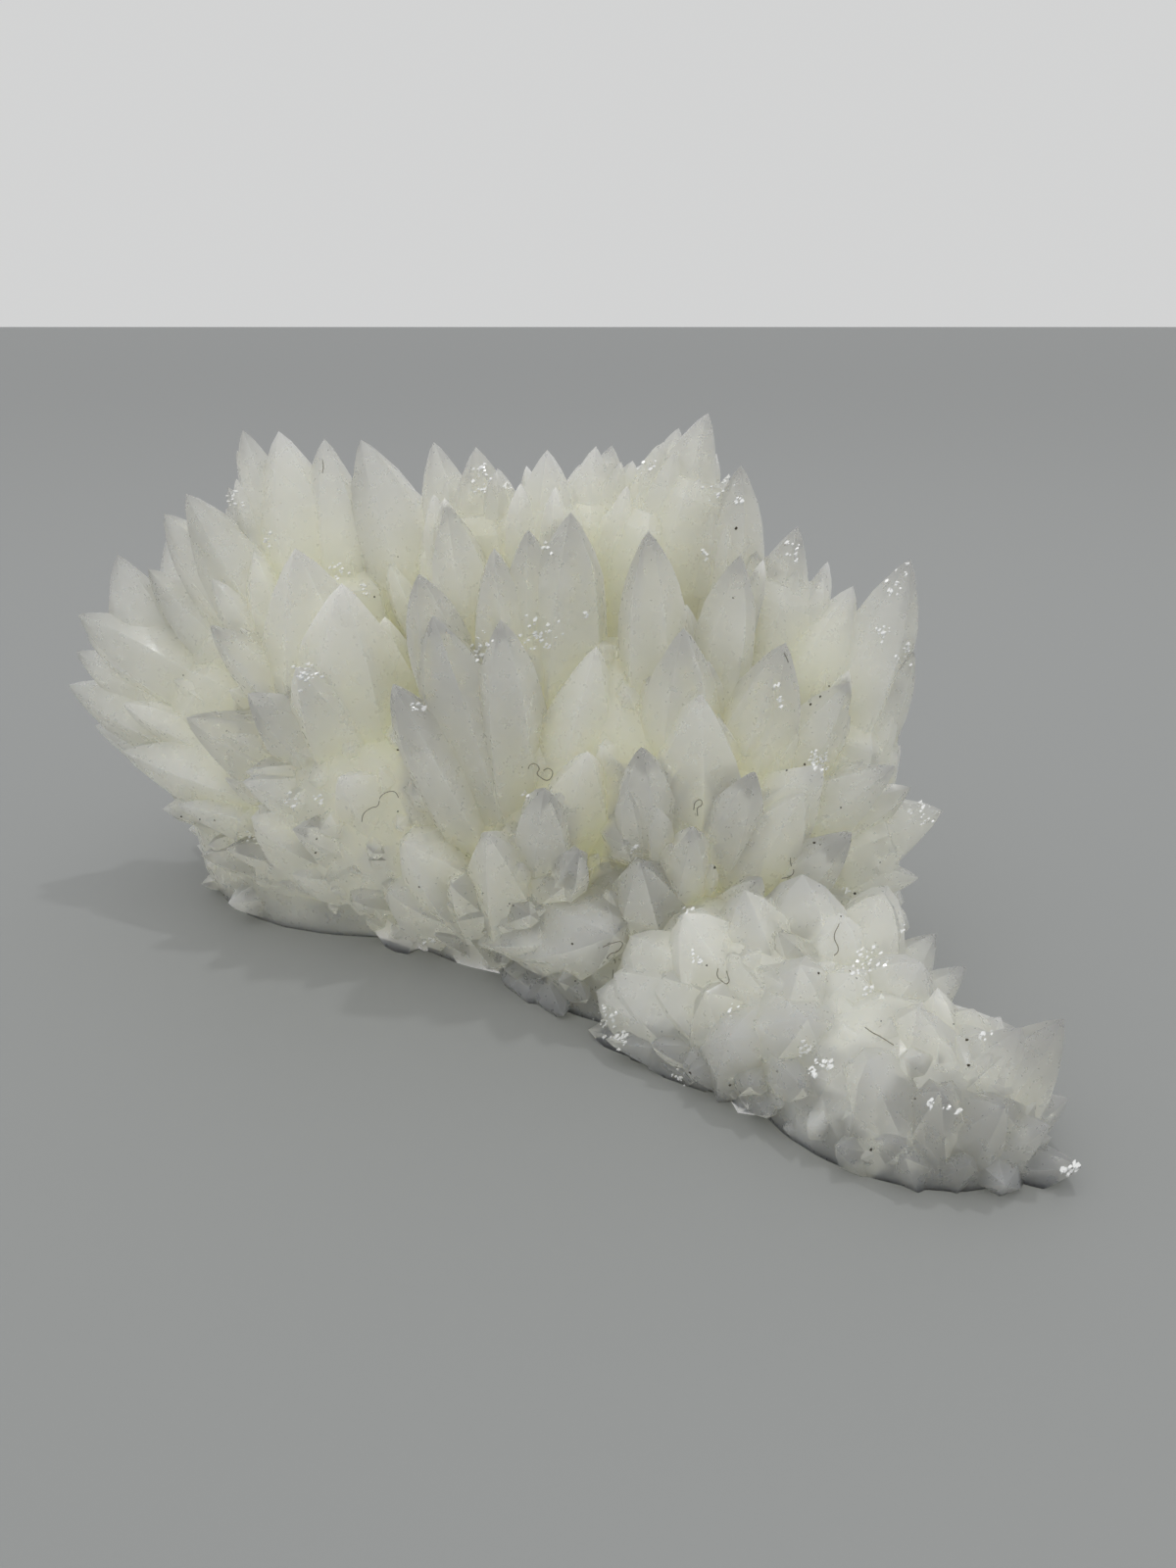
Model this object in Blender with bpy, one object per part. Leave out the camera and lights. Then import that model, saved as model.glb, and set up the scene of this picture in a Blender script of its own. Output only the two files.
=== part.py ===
"""A lopsided spray of dog-tooth crystals, grown together as one piece.

Low sprays of long crystals make the dome, and a ridge of shorter crystals
runs down from it to the front right. Each crystal is a six-sided spear that
grows out of a lumpy core. Everything is fused into one closed body, and the
underside is cut flat so that it rests.

Sizes are in millimetres, and the mesh is made in metres. Places are measured
from a point under the dome, and the finished body is centred at the end.
"""
import math
from collections import namedtuple

import bmesh
import bpy
from mathutils import Matrix, Vector

MM = 0.001
REST_HEIGHT = 0.0
GOLDEN_ANGLE = math.radians(137.5)

# Points closer than this are one point.
WELD = 0.003

# A crystal's outline: distance below the tip in widths, and share of its half width.
CRYSTAL_OUTLINE = ((1.35, 1.0), (0.52, 0.72))
FOOT_SHARE = 0.66
CRYSTAL_SIDES = 6
EDGE_ALTERNATION = 0.13
CRYSTAL_DEPTH = 0.82

# A stepped crystal carries smaller tips on its shoulders.
STEP_TOPS = (0.84, 0.70, 0.90, 0.76)
STEP_LENGTH = 0.52
STEP_WIDTH = 0.56
STEP_SPREAD = 0.38
STEP_LEAN = 0.12

# Where a crystal ends, how long and wide it is, and how many stepped tips it has.
Tip = namedtuple("Tip", "x y z length width steps")
# Crystals that point away from one root.
Spray = namedtuple("Spray", "root tips")
# One bump of the core, turned about the vertical by some degrees.
Lump = namedtuple("Lump", "centre radii turn")

CORE_LUMPS = (
    Lump((-22, 20, 12), (22, 15, 22), -12),
    Lump((4, 14, 12), (24, 20, 29), -22),
    Lump((26, 4, 10), (16, 14, 21), -40),
    Lump((13, -6, 2), (14, 9, 14), -35),
    Lump((28, -18, 3), (16, 11, 10), -40),
    Lump((42, -34, 2), (13, 9, 8), -35),
)
CORE_DETAIL = 1
CORE_BUMP = 1.6

LEFT_SPRAY = Spray((-16, 18, 12), (
    Tip(-67, 24, 31, 32, 14, 1),
    Tip(-65, 24, 36, 18, 8, 0),
    Tip(-63, 22, 42, 30, 13, 0),
    Tip(-65, 26, 24, 30, 16, 2),
    Tip(-57, 15, 24, 28, 16, 0),
    Tip(-53, 24, 48, 26, 10, 0),
    Tip(-49, 22, 56, 30, 10, 0),
    Tip(-45, 20, 59, 36, 17, 0),
    Tip(-41, 26, 59, 16, 8, 0),
    Tip(-40, 8, 44, 22, 10, 0),
    Tip(-44, 6, 32, 22, 14, 1),
    Tip(-34, 1, 37, 20, 12, 0),
    Tip(-27, -1, 41, 20, 13, 0),
    Tip(-36, 1, 25, 22, 14, 2),
))

LEFT_LEAF_SPRAY = Spray((-44, 22, 4), (
    Tip(-57, 24, 50, 24, 10, 0),
    Tip(-52, 32, 52, 22, 9, 0),
))

LOW_LEFT_SPRAY = Spray((-12, 14, 8), (
    Tip(-46, 10, 10, 26, 16, 0),
    Tip(-41, 6, 13, 22, 12, 0),
    Tip(-38, 9, 6, 22, 12, 0),
    Tip(-29, -3, 20, 18, 14, 0),
    Tip(-22, -5, 28, 18, 13, 0),
    Tip(-19, -4, 16, 16, 14, 0),
    Tip(-27, 4, 5, 18, 12, 0),
    Tip(-36, 3, 19, 20, 13, 0),
    Tip(-31, 2, 11, 20, 13, 0),
    Tip(-52, 18, 16, 24, 13, 0),
    Tip(-48, 22, 7, 22, 12, 0),
    Tip(-46, 16, 2, 24, 14, 0),
    Tip(-50, 28, 6, 22, 14, 1),
    Tip(-22, -2, 9, 16, 12, 0),
))

CROWN_LEFT_SPRAY = Spray((-22, 18, 0), (
    Tip(-37, 22, 67, 22, 8, 0),
    Tip(-32, 21, 67, 40, 17, 0),
    Tip(-26, 21, 66, 34, 12, 0),
    Tip(-28, 8, 54, 28, 16, 0),
    Tip(-21, 1, 51, 26, 14, 1),
))

CROWN_SPRAY = Spray((2, 14, 0), (
    Tip(-21, 20, 66, 34, 14, 0),
    Tip(-11, 17, 66, 32, 10, 0),
    Tip(-5, 11, 66, 34, 14, 4),
    Tip(4, 8, 66, 32, 12, 2),
    Tip(10, 12, 66, 34, 12, 1),
    Tip(12, 13, 66, 34, 10, 1),
    Tip(24, 12, 70, 38, 14, 3),
    Tip(18, 11, 66, 34, 13, 2),
))

CROWN_RIGHT_SPRAY = Spray((24, 10, 0), (
    Tip(28, 9, 64, 32, 12, 0),
    Tip(30, 6, 54, 20, 8, 0),
    Tip(35, 6, 57, 28, 12, 3),
))

RIGHT_SPEAR_SPRAY = Spray((33, 4, 0), (
    Tip(48, 1, 54, 38, 14, 0),
    Tip(49, -1, 43, 24, 10, 1),
    Tip(48, 0, 35, 20, 10, 0),
))

RIGHT_SPRAY = Spray((26, 0, 12), (
    Tip(42, 4, 50, 16, 9, 0),
    Tip(40, -7, 41, 24, 12, 0),
    Tip(36, -14, 33, 18, 12, 0),
    Tip(46, -9, 31, 22, 12, 0),
    Tip(49, -6, 27, 20, 9, 0),
    Tip(54, -4, 23, 28, 16, 1),
    Tip(51, -7, 15, 22, 10, 0),
    Tip(50, -9, 9, 20, 10, 0),
    Tip(50, 4, 6, 22, 15, 1),
    Tip(47, 11, 5, 22, 14, 0),
    Tip(51, -2, 9, 22, 12, 0),
    Tip(46, 12, 18, 22, 14, 0),
))

FRONT_SPRAY = Spray((2, 6, -4), (
    Tip(-8, 3, 60, 30, 9, 0),
    Tip(-11, -3, 53, 22, 8, 0),
    Tip(-9, -7, 49, 34, 13, 0),
    Tip(-14, -8, 41, 30, 10, 0),
    Tip(-2, -3, 56, 26, 10, 0),
    Tip(-1, -9, 49, 30, 10, 0),
    Tip(2, -2, 58, 22, 9, 0),
    Tip(7, -2, 60, 36, 12, 0),
    Tip(4, -16, 31, 22, 10, 0),
    Tip(8, -18, 24, 12, 6, 0),
    Tip(11, -8, 50, 24, 12, 1),
    Tip(10, -14, 38, 20, 10, 0),
    Tip(-3, -13, 24, 18, 13, 0),
))

FRONT_RIGHT_SPRAY = Spray((20, 2, -6), (
    Tip(16, -3, 58, 28, 10, 0),
    Tip(27, -2, 55, 26, 9, 0),
    Tip(20, -9, 48, 24, 13, 0),
    Tip(22, -12, 41, 22, 13, 1),
    Tip(32, -8, 46, 24, 13, 0),
    Tip(15, -16, 36, 22, 10, 1),
    Tip(28, -16, 33, 22, 9, 0),
    Tip(34, -15, 30, 18, 12, 0),
    Tip(15, -19, 23, 18, 16, 0),
    Tip(21, -18, 27, 16, 10, 0),
    Tip(29, -19, 21, 12, 6, 0),
    Tip(40, -15, 25, 22, 12, 0),
))

LOW_FRONT_SPRAY = Spray((0, 8, 2), (
    Tip(-14, -7, 20, 18, 13, 0),
    Tip(-8, -11, 16, 16, 12, 0),
    Tip(-17, -5, 12, 16, 13, 0),
    Tip(-11, -6, 8, 16, 14, 0),
    Tip(-5, -9, 11, 16, 14, 0),
    Tip(-2, -11, 5, 16, 12, 0),
    Tip(3, -13, 4, 16, 12, 0),
    Tip(8, -17, 12, 18, 14, 0),
    Tip(2, -15, 14, 16, 12, 0),
    Tip(9, -18, 4, 18, 12, 0),
    Tip(6, -17, 1, 16, 12, 0),
    Tip(12, -20, 14, 20, 13, 1),
    Tip(7, -16, 19, 18, 12, 0),
    Tip(-8, -4, 2, 14, 12, 0),
    Tip(-18, 1, 2, 14, 12, 0),
))

TAIL_TOP_SPRAY = Spray((34, -22, -8), (
    Tip(27, -20, 20, 18, 13, 0),
    Tip(34, -18, 21, 20, 13, 1),
    Tip(46, -11, 16, 20, 12, 0),
    Tip(32, -30, 16, 16, 13, 0),
    Tip(51, -16, 12, 16, 10, 0),
    Tip(53, -22, 11, 16, 10, 0),
    Tip(44, -17, 18, 18, 12, 1),
    Tip(38, -22, 18, 16, 12, 0),
    Tip(31, -24, 17, 16, 13, 1),
    Tip(25, -26, 15, 16, 12, 0),
    Tip(20, -22, 18, 18, 13, 0),
    Tip(14, -20, 14, 18, 13, 0),
    Tip(46, -28, 15, 16, 12, 0),
    Tip(38, -30, 15, 16, 12, 1),
))

TAIL_FRONT_SPRAY = Spray((30, -24, 0), (
    Tip(9, -20, 1, 20, 12, 0),
    Tip(12, -22, 10, 18, 13, 0),
    Tip(10, -21, 7, 18, 12, 0),
    Tip(11, -25, 3, 16, 10, 0),
    Tip(16, -29, 5, 16, 12, 0),
    Tip(20, -33, 4, 16, 10, 0),
    Tip(24, -35, 10, 14, 12, 1),
    Tip(28, -39, 3, 14, 9, 0),
    Tip(32, -36, 13, 14, 12, 0),
    Tip(31, -41, 8, 16, 10, 0),
    Tip(22, -29, 12, 16, 13, 0),
    Tip(16, -24, 11, 16, 13, 0),
    Tip(26, -38, 6, 14, 11, 0),
))

TAIL_END_SPRAY = Spray((46, -36, -6), (
    Tip(56, -42, 17, 20, 12, 0),
    Tip(52, -42, 16, 20, 12, 0),
    Tip(50, -34, 13, 16, 12, 0),
    Tip(43, -37, 15, 18, 12, 1),
    Tip(37, -42, 12, 18, 13, 0),
    Tip(43, -47, 12, 18, 14, 0),
    Tip(49, -48, 11, 18, 14, 0),
    Tip(54, -47, 8, 16, 12, 0),
    Tip(58, -47, 3, 16, 10, 0),
    Tip(40, -48, 5, 16, 12, 0),
    Tip(34, -45, 4, 16, 12, 0),
    Tip(46, -49, 5, 16, 12, 0),
    Tip(59, -40, 6, 18, 12, 0),
))

TAIL_BACK_SPRAY = Spray((40, -22, 0), (
    Tip(53, -24, 4, 18, 12, 0),
    Tip(57, -31, 8, 18, 12, 1),
    Tip(51, -15, 3, 18, 12, 0),
    Tip(50, -7, 5, 20, 13, 0),
))

SPRAYS = (
    LEFT_SPRAY,
    LEFT_LEAF_SPRAY,
    LOW_LEFT_SPRAY,
    CROWN_LEFT_SPRAY,
    CROWN_SPRAY,
    CROWN_RIGHT_SPRAY,
    RIGHT_SPEAR_SPRAY,
    RIGHT_SPRAY,
    FRONT_SPRAY,
    FRONT_RIGHT_SPRAY,
    LOW_FRONT_SPRAY,
    TAIL_TOP_SPRAY,
    TAIL_FRONT_SPRAY,
    TAIL_END_SPRAY,
    TAIL_BACK_SPRAY,
)

# The far side is covered by an even spiral over half of the dome.
DOME_CENTRE = Vector((-4, 17, 6))
DOME_RADII = Vector((60, 34, 58))
DOME_TURN = math.radians(-22)
DOME_ROOT_SHARE = 0.15
SPIRAL_COUNT = 94
SPIRAL_FRONT_LIMIT = 0.10
FAR_LENGTH = 30
FAR_WIDTH = 14
FAR_WIDTH_SPREAD = 0.22
FAR_REACH = 0.93
FAR_REACH_SPREAD = 0.07
FAR_STEP_EVERY = 3
FAR_STEPS = 1

# A skirt of low crystals goes round the foot of the far side.
SKIRT_COUNT = 12
SKIRT_START = math.radians(8)
SKIRT_END = math.radians(184)
SKIRT_REACH = 0.88
SKIRT_HEIGHT = 8
SKIRT_HEIGHT_SPREAD = 4
SKIRT_LENGTH = 26
SKIRT_WIDTH = 15


def stretch(way, radii):
    """A direction scaled by three radii."""
    return Vector((way.x * radii[0], way.y * radii[1], way.z * radii[2]))


def far_side_crystals():
    """Roots and tips of the crystals on the far side of the dome."""
    turn = Matrix.Rotation(DOME_TURN, 3, "Z")
    crystals = []
    for index in range(SPIRAL_COUNT // 2):
        height = 1 - 2 * (index + 0.5) / SPIRAL_COUNT
        ring = math.sqrt(1 - height * height)
        angle = index * GOLDEN_ANGLE
        way = Vector((ring * math.cos(angle), ring * math.sin(angle), height))
        if way.y < SPIRAL_FRONT_LIMIT:
            continue
        out = turn @ stretch(way, DOME_RADII)
        reach = FAR_REACH + FAR_REACH_SPREAD * math.sin(5.0 * index)
        width = FAR_WIDTH * (1 + FAR_WIDTH_SPREAD * math.sin(2.3 * index))
        steps = FAR_STEPS if index % FAR_STEP_EVERY == 0 else 0
        tip = Tip(*(DOME_CENTRE + out * reach), FAR_LENGTH, width, steps)
        crystals.append((DOME_CENTRE + out * DOME_ROOT_SHARE, tip))
    return crystals


def skirt_crystals():
    """Roots and tips of the low crystals round the far side's foot."""
    turn = Matrix.Rotation(DOME_TURN, 3, "Z")
    crystals = []
    for index in range(SKIRT_COUNT):
        angle = SKIRT_START + (SKIRT_END - SKIRT_START) * index / (SKIRT_COUNT - 1)
        out = turn @ stretch(Vector((math.cos(angle), math.sin(angle), 0)), DOME_RADII)
        place = DOME_CENTRE + out * SKIRT_REACH
        place.z = SKIRT_HEIGHT + SKIRT_HEIGHT_SPREAD * math.sin(3.1 * index)
        tip = Tip(*place, SKIRT_LENGTH, SKIRT_WIDTH, 0)
        crystals.append((DOME_CENTRE + out * DOME_ROOT_SHARE, tip))
    return crystals


def all_crystals():
    """Every crystal as a root and a tip."""
    crystals = []
    for spray in SPRAYS:
        for tip in spray.tips:
            crystals.append((Vector(spray.root), tip))
    return crystals + far_side_crystals() + skirt_crystals()


def add_spear(bm, base, apex, width, roll):
    """One six-sided spear from its foot to its tip."""
    axis = apex - base
    upright = axis.to_track_quat("Z", "Y").to_matrix() @ Matrix.Rotation(roll, 3, "Z")
    outline = [(0.0, FOOT_SHARE)]
    outline += [(axis.length - below * width, share) for below, share in CRYSTAL_OUTLINE]
    rings = []
    for along, share in outline:
        ring = []
        for side in range(CRYSTAL_SIDES):
            angle = math.tau * side / CRYSTAL_SIDES
            radius = width / 2 * share * (1 - EDGE_ALTERNATION * (side % 2))
            across = radius * math.cos(angle)
            deep = radius * math.sin(angle) * CRYSTAL_DEPTH
            ring.append(bm.verts.new((base + upright @ Vector((across, deep, along))) * MM))
        rings.append(ring)
    bm.faces.new(reversed(rings[0]))
    for lower, upper in zip(rings, rings[1:]):
        for side in range(CRYSTAL_SIDES):
            after = (side + 1) % CRYSTAL_SIDES
            bm.faces.new((lower[side], lower[after], upper[after], upper[side]))
    point = bm.verts.new(apex * MM)
    for side in range(CRYSTAL_SIDES):
        bm.faces.new((rings[-1][side], rings[-1][(side + 1) % CRYSTAL_SIDES], point))


def add_crystal(bm, root, tip, number):
    """A crystal with its stepped tips."""
    apex = Vector((tip.x, tip.y, tip.z))
    way = (apex - root).normalized()
    base = apex - way * tip.length
    roll = number * GOLDEN_ANGLE
    add_spear(bm, base, apex, tip.width, roll)
    across = way.orthogonal().normalized()
    beside = way.cross(across)
    for step in range(tip.steps):
        angle = roll + math.tau * step / tip.steps
        out = across * math.cos(angle) + beside * math.sin(angle)
        top = base + way * tip.length * STEP_TOPS[step] + out * tip.width * STEP_SPREAD
        lean = (way + out * STEP_LEAN).normalized()
        add_spear(bm, top - lean * tip.length * STEP_LENGTH, top, tip.width * STEP_WIDTH, angle)


def make_object(name, bm):
    """Turn a bmesh into an object of its own."""
    bm.normal_update()
    mesh = bpy.data.meshes.new(name)
    bm.to_mesh(mesh)
    bm.free()
    thing = bpy.data.objects.new(name, mesh)
    bpy.context.scene.collection.objects.link(thing)
    return thing


def core_lump(number, lump):
    """One bumpy ellipsoid of the core."""
    bm = bmesh.new()
    bmesh.ops.create_icosphere(bm, subdivisions=CORE_DETAIL, radius=1.0)
    turn = Matrix.Rotation(math.radians(lump.turn), 3, "Z")
    for vert in bm.verts:
        way = vert.co.normalized()
        bump = CORE_BUMP * math.sin(7 * way.x + number) * math.cos(6 * way.y + 5 * way.z)
        vert.co = (Vector(lump.centre) + turn @ (stretch(way, lump.radii) + way * bump)) * MM
    return make_object("core_lump", bm)


def apply_modifiers(thing):
    """Keep the evaluated mesh and drop the modifiers."""
    bpy.context.view_layer.update()
    seen = thing.evaluated_get(bpy.context.evaluated_depsgraph_get())
    mesh = bpy.data.meshes.new_from_object(seen)
    thing.modifiers.clear()
    thing.data = mesh


def fuse(body, others):
    """Union of the body with the other objects, which are then removed."""
    helpers = bpy.data.collections.new("fused")
    bpy.context.scene.collection.children.link(helpers)
    for other in others:
        bpy.context.scene.collection.objects.unlink(other)
        helpers.objects.link(other)
    union = body.modifiers.new("grown together", "BOOLEAN")
    union.operation = "UNION"
    union.solver = "EXACT"
    union.operand_type = "COLLECTION"
    union.collection = helpers
    apply_modifiers(body)
    for other in others:
        bpy.data.objects.remove(other)
    bpy.data.collections.remove(helpers)


def cut_flat(bm):
    """Slice the body level where it rests, and close the cut."""
    everything = bm.verts[:] + bm.edges[:] + bm.faces[:]
    bmesh.ops.bisect_plane(
        bm,
        geom=everything,
        plane_co=(0, 0, REST_HEIGHT),
        plane_no=(0, 0, -1),
        clear_outer=True,
    )
    rim = [edge for edge in bm.edges if edge.is_boundary]
    bmesh.ops.holes_fill(bm, edges=rim, sides=0)


def keep_largest_shell(bm):
    """Drop loose shells, so that one closed body is left."""
    unseen = set(bm.verts)
    shells = []
    while unseen:
        start = unseen.pop()
        shell = [start]
        front = [start]
        while front:
            vert = front.pop()
            for edge in vert.link_edges:
                other = edge.other_vert(vert)
                if other in unseen:
                    unseen.remove(other)
                    shell.append(other)
                    front.append(other)
        shells.append(shell)
    shells.sort(key=len)
    for shell in shells[:-1]:
        bmesh.ops.delete(bm, geom=shell, context="VERTS")


def centre_over_origin(bm):
    """Put the middle of the overall box over the origin."""
    xs = [vert.co.x for vert in bm.verts]
    ys = [vert.co.y for vert in bm.verts]
    middle = Vector(((min(xs) + max(xs)) / 2, (min(ys) + max(ys)) / 2, REST_HEIGHT))
    bmesh.ops.translate(bm, verts=bm.verts, vec=-middle)


def finish_body(body):
    """One closed triangulated shell with a flat base, centred over the origin."""
    bm = bmesh.new()
    bm.from_mesh(body.data)
    cut_flat(bm)
    bmesh.ops.triangulate(bm, faces=bm.faces)
    bmesh.ops.remove_doubles(bm, verts=bm.verts, dist=WELD * MM)
    bmesh.ops.dissolve_degenerate(bm, edges=bm.edges, dist=WELD * MM)
    bmesh.ops.triangulate(bm, faces=bm.faces)
    keep_largest_shell(bm)
    centre_over_origin(bm)
    bmesh.ops.recalc_face_normals(bm, faces=bm.faces)
    bm.to_mesh(body.data)
    bm.free()


def crystal_material():
    """Milky white crystal."""
    material = bpy.data.materials.new("milky crystal")
    material.use_nodes = True
    surface = material.node_tree.nodes["Principled BSDF"]
    surface.inputs["Base Color"].default_value = (0.78, 0.79, 0.74, 1.0)
    surface.inputs["Roughness"].default_value = 0.28
    surface.inputs["Metallic"].default_value = 0.0
    return material


def main():
    for thing in list(bpy.data.objects):
        bpy.data.objects.remove(thing)
    body, *others = [core_lump(number, lump) for number, lump in enumerate(CORE_LUMPS)]
    body.name = "crystal_cluster"
    for number, (root, tip) in enumerate(all_crystals()):
        bm = bmesh.new()
        add_crystal(bm, root, tip, number)
        others.append(make_object("crystal", bm))
    fuse(body, others)
    finish_body(body)
    body.data.materials.clear()
    body.data.materials.append(crystal_material())


main()
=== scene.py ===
# %% [markdown]
# # A white spray of dog-tooth crystals
# This is a hand specimen: a lopsided dome of pointed crystals that all grew from one root,
# with a low ridge of shorter crystals that runs down to the front right. It is white to cream,
# milky inside and clearer at the tips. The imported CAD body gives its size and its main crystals,
# so this lesson starts by loading that body as a fixed frame.

# %% Load the frame
import math
import random
from collections import namedtuple

import bmesh
import bpy
import numpy as np
from mathutils import Matrix, Vector
from mathutils.bvhtree import BVHTree


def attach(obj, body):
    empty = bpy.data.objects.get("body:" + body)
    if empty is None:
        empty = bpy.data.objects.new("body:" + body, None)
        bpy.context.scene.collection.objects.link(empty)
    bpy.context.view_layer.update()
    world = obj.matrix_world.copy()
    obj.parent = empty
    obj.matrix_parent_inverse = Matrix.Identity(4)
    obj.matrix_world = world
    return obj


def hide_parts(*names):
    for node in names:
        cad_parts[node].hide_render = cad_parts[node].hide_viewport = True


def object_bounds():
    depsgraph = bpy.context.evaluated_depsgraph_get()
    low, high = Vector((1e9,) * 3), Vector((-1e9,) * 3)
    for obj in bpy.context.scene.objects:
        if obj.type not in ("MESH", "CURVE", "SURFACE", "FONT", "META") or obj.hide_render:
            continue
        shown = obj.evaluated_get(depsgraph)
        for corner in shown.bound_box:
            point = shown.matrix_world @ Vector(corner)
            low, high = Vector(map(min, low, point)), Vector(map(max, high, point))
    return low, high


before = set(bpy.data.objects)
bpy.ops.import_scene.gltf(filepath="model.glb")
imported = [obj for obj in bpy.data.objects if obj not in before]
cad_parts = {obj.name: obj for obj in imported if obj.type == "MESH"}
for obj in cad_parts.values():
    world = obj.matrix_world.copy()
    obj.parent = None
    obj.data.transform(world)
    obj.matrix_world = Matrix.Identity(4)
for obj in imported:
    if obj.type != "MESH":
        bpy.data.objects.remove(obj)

MM = 0.001
GOLDEN_ANGLE = math.radians(137.5)

cad_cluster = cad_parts["crystal_cluster"]
cad_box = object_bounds()
print("CAD box in mm:", [[round(value / MM, 1) for value in corner] for corner in cad_box])

# %% [markdown]
# ## One grid for every place
# All places below are millimetres from a point under the dome, the grid that the crystals were
# laid out on. The CAD body was centred afterwards, so its tallest tip shows how far it moved.
# Measuring that tip is safer than writing the number down, because it follows the body.

# %% Find the shift of the grid
TALLEST_TIP = Vector((24, 12, 70))
highest_corner = max((vertex.co for vertex in cad_cluster.data.vertices), key=lambda corner: corner.z)
grid_shift = highest_corner - TALLEST_TIP * MM


def placed(point):
    """A grid point in millimetres as a place in the scene in metres."""
    return Vector(point) * MM + grid_shift


print("the grid moves by", [round(value / MM, 2) for value in grid_shift], "mm")

# %% [markdown]
# ## The camera
# The specimen is seen from the front and a little above, from close by with a wide lens. That
# makes its near end look large, which a longer lens from further away would not. The lens is
# worked out from its focal length in pixels of a 1200 by 1600 picture.

# %% Set up the camera
PICTURE_WIDTH = 1200
PICTURE_HEIGHT = 1600
FOCAL_PIXELS = 1200
SENSOR_SIZE = 36
CAMERA_PLACE = Vector((9, -141, 82))
CAMERA_PITCH = math.radians(22)
NEAREST_SEEN = 5 * MM


def show(thing):
    """Put an object into the scene and pass it on."""
    bpy.context.scene.collection.objects.link(thing)
    return thing


camera_data = bpy.data.cameras.new("camera")
camera_data.sensor_width = SENSOR_SIZE
camera_data.lens = SENSOR_SIZE * FOCAL_PIXELS / PICTURE_HEIGHT
camera_data.clip_start = NEAREST_SEEN
camera = show(bpy.data.objects.new("camera", camera_data))
camera.location = placed(CAMERA_PLACE)
camera.rotation_euler = (math.radians(90) - CAMERA_PITCH, 0, 0)
bpy.context.scene.camera = camera
print("lens", round(camera_data.lens, 1), "mm")

# %% [markdown]
# ## The floor
# The floor is a plain pale grey sheet, wide enough to reach the horizon in every view. A sheet
# that curves up behind would hide the horizon from one side only, so it stays flat.

# %% Lay the floor
FLOOR_REACH = 6.0
FLOOR_COLOUR = (0.34, 0.35, 0.35, 1)
FLOOR_ROUGHNESS = 0.55


def shaped(name, points, faces):
    """A mesh object made of points and faces."""
    mesh = bpy.data.meshes.new(name)
    mesh.from_pydata(points, [], faces)
    return bpy.data.objects.new(name, mesh)


def finish_named(name):
    """A new material with its node tree and its Principled shader."""
    finish = bpy.data.materials.new(name)
    finish.use_nodes = True
    return finish, finish.node_tree, finish.node_tree.nodes["Principled BSDF"]


def set_sockets(node, values):
    """Set a node's plain values by the names of its sockets."""
    for socket, value in values.items():
        node.inputs[socket].default_value = value


corners = [(x * FLOOR_REACH, y * FLOOR_REACH, 0) for x, y in ((-1, -1), (1, -1), (1, 1), (-1, 1))]
floor = show(shaped("floor", corners, [(0, 1, 2, 3)]))
floor_finish, tree, surface = finish_named("pale floor")
set_sockets(surface, {"Base Color": FLOOR_COLOUR, "Roughness": FLOOR_ROUGHNESS})
floor.data.materials.append(floor_finish)
print("the floor reaches", FLOOR_REACH, "m each way")

# %% [markdown]
# ## The light
# The light is soft, so the milky crystals keep their low contrast. A pale sky all round and a
# broad panel overhead do that. Soft light alone makes no glints, so one small lamp is added. It
# is too weak to cast a hard shadow, and it shows mostly in the tiny broken faces.

# %% Hang the lights
SKY_COLOUR = (0.985, 0.99, 0.99, 1)
SKY_STRENGTH = 0.66
LIT_PLACE = Vector((0, 0, 0.03))
PANEL_PLACE = Vector((-0.12, -0.22, 0.85))
PANEL_SIZE = 0.9
PANEL_POWER = 1.2
PANEL_COLOUR = (1.0, 0.98, 0.93)
GLINT_PLACE = Vector((0.12, 0.10, 0.7))
GLINT_SIZE = 0.03
GLINT_POWER = 0.5
GLINT_COLOUR = (1, 1, 1)

world = bpy.data.worlds.new("soft sky")
world.use_nodes = True
set_sockets(world.node_tree.nodes["Background"], {"Color": SKY_COLOUR, "Strength": SKY_STRENGTH})
bpy.context.scene.world = world
bpy.context.scene.view_settings.view_transform = "Standard"


def hang_panel(name, place, size, power, colour):
    """A square light panel that faces the specimen. Place and size are in metres."""
    panel = bpy.data.lights.new(name, "AREA")
    panel.size = size
    panel.energy = power
    panel.color = colour
    lamp = show(bpy.data.objects.new(name, panel))
    lamp.location = place
    lamp.rotation_euler = (LIT_PLACE - lamp.location).to_track_quat("-Z", "Y").to_euler()
    return lamp


hang_panel("overhead panel", PANEL_PLACE, PANEL_SIZE, PANEL_POWER, PANEL_COLOUR)
glint_lamp = hang_panel("glint lamp", GLINT_PLACE, GLINT_SIZE, GLINT_POWER, GLINT_COLOUR)
print("two lights under a sky of strength", SKY_STRENGTH)

# %% [markdown]
# ## The crystals, spray by spray
# Each row is one crystal: where its tip ends, how long and wide it is, how many teeth grow on
# its shoulders, and how clear it is. Clear crystals look grey, because they show what is behind
# them, and milky ones look white. The rows of a spray all point away from one root. Scattering
# crystals at random would be shorter to write, but no tip would then end where the real one does.

# %% List the crystals
# The rows: x, y and z of the tip in millimetres, length, width, teeth, and clearness up to 1.
Spray = namedtuple("Spray", "root crystals")

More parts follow.
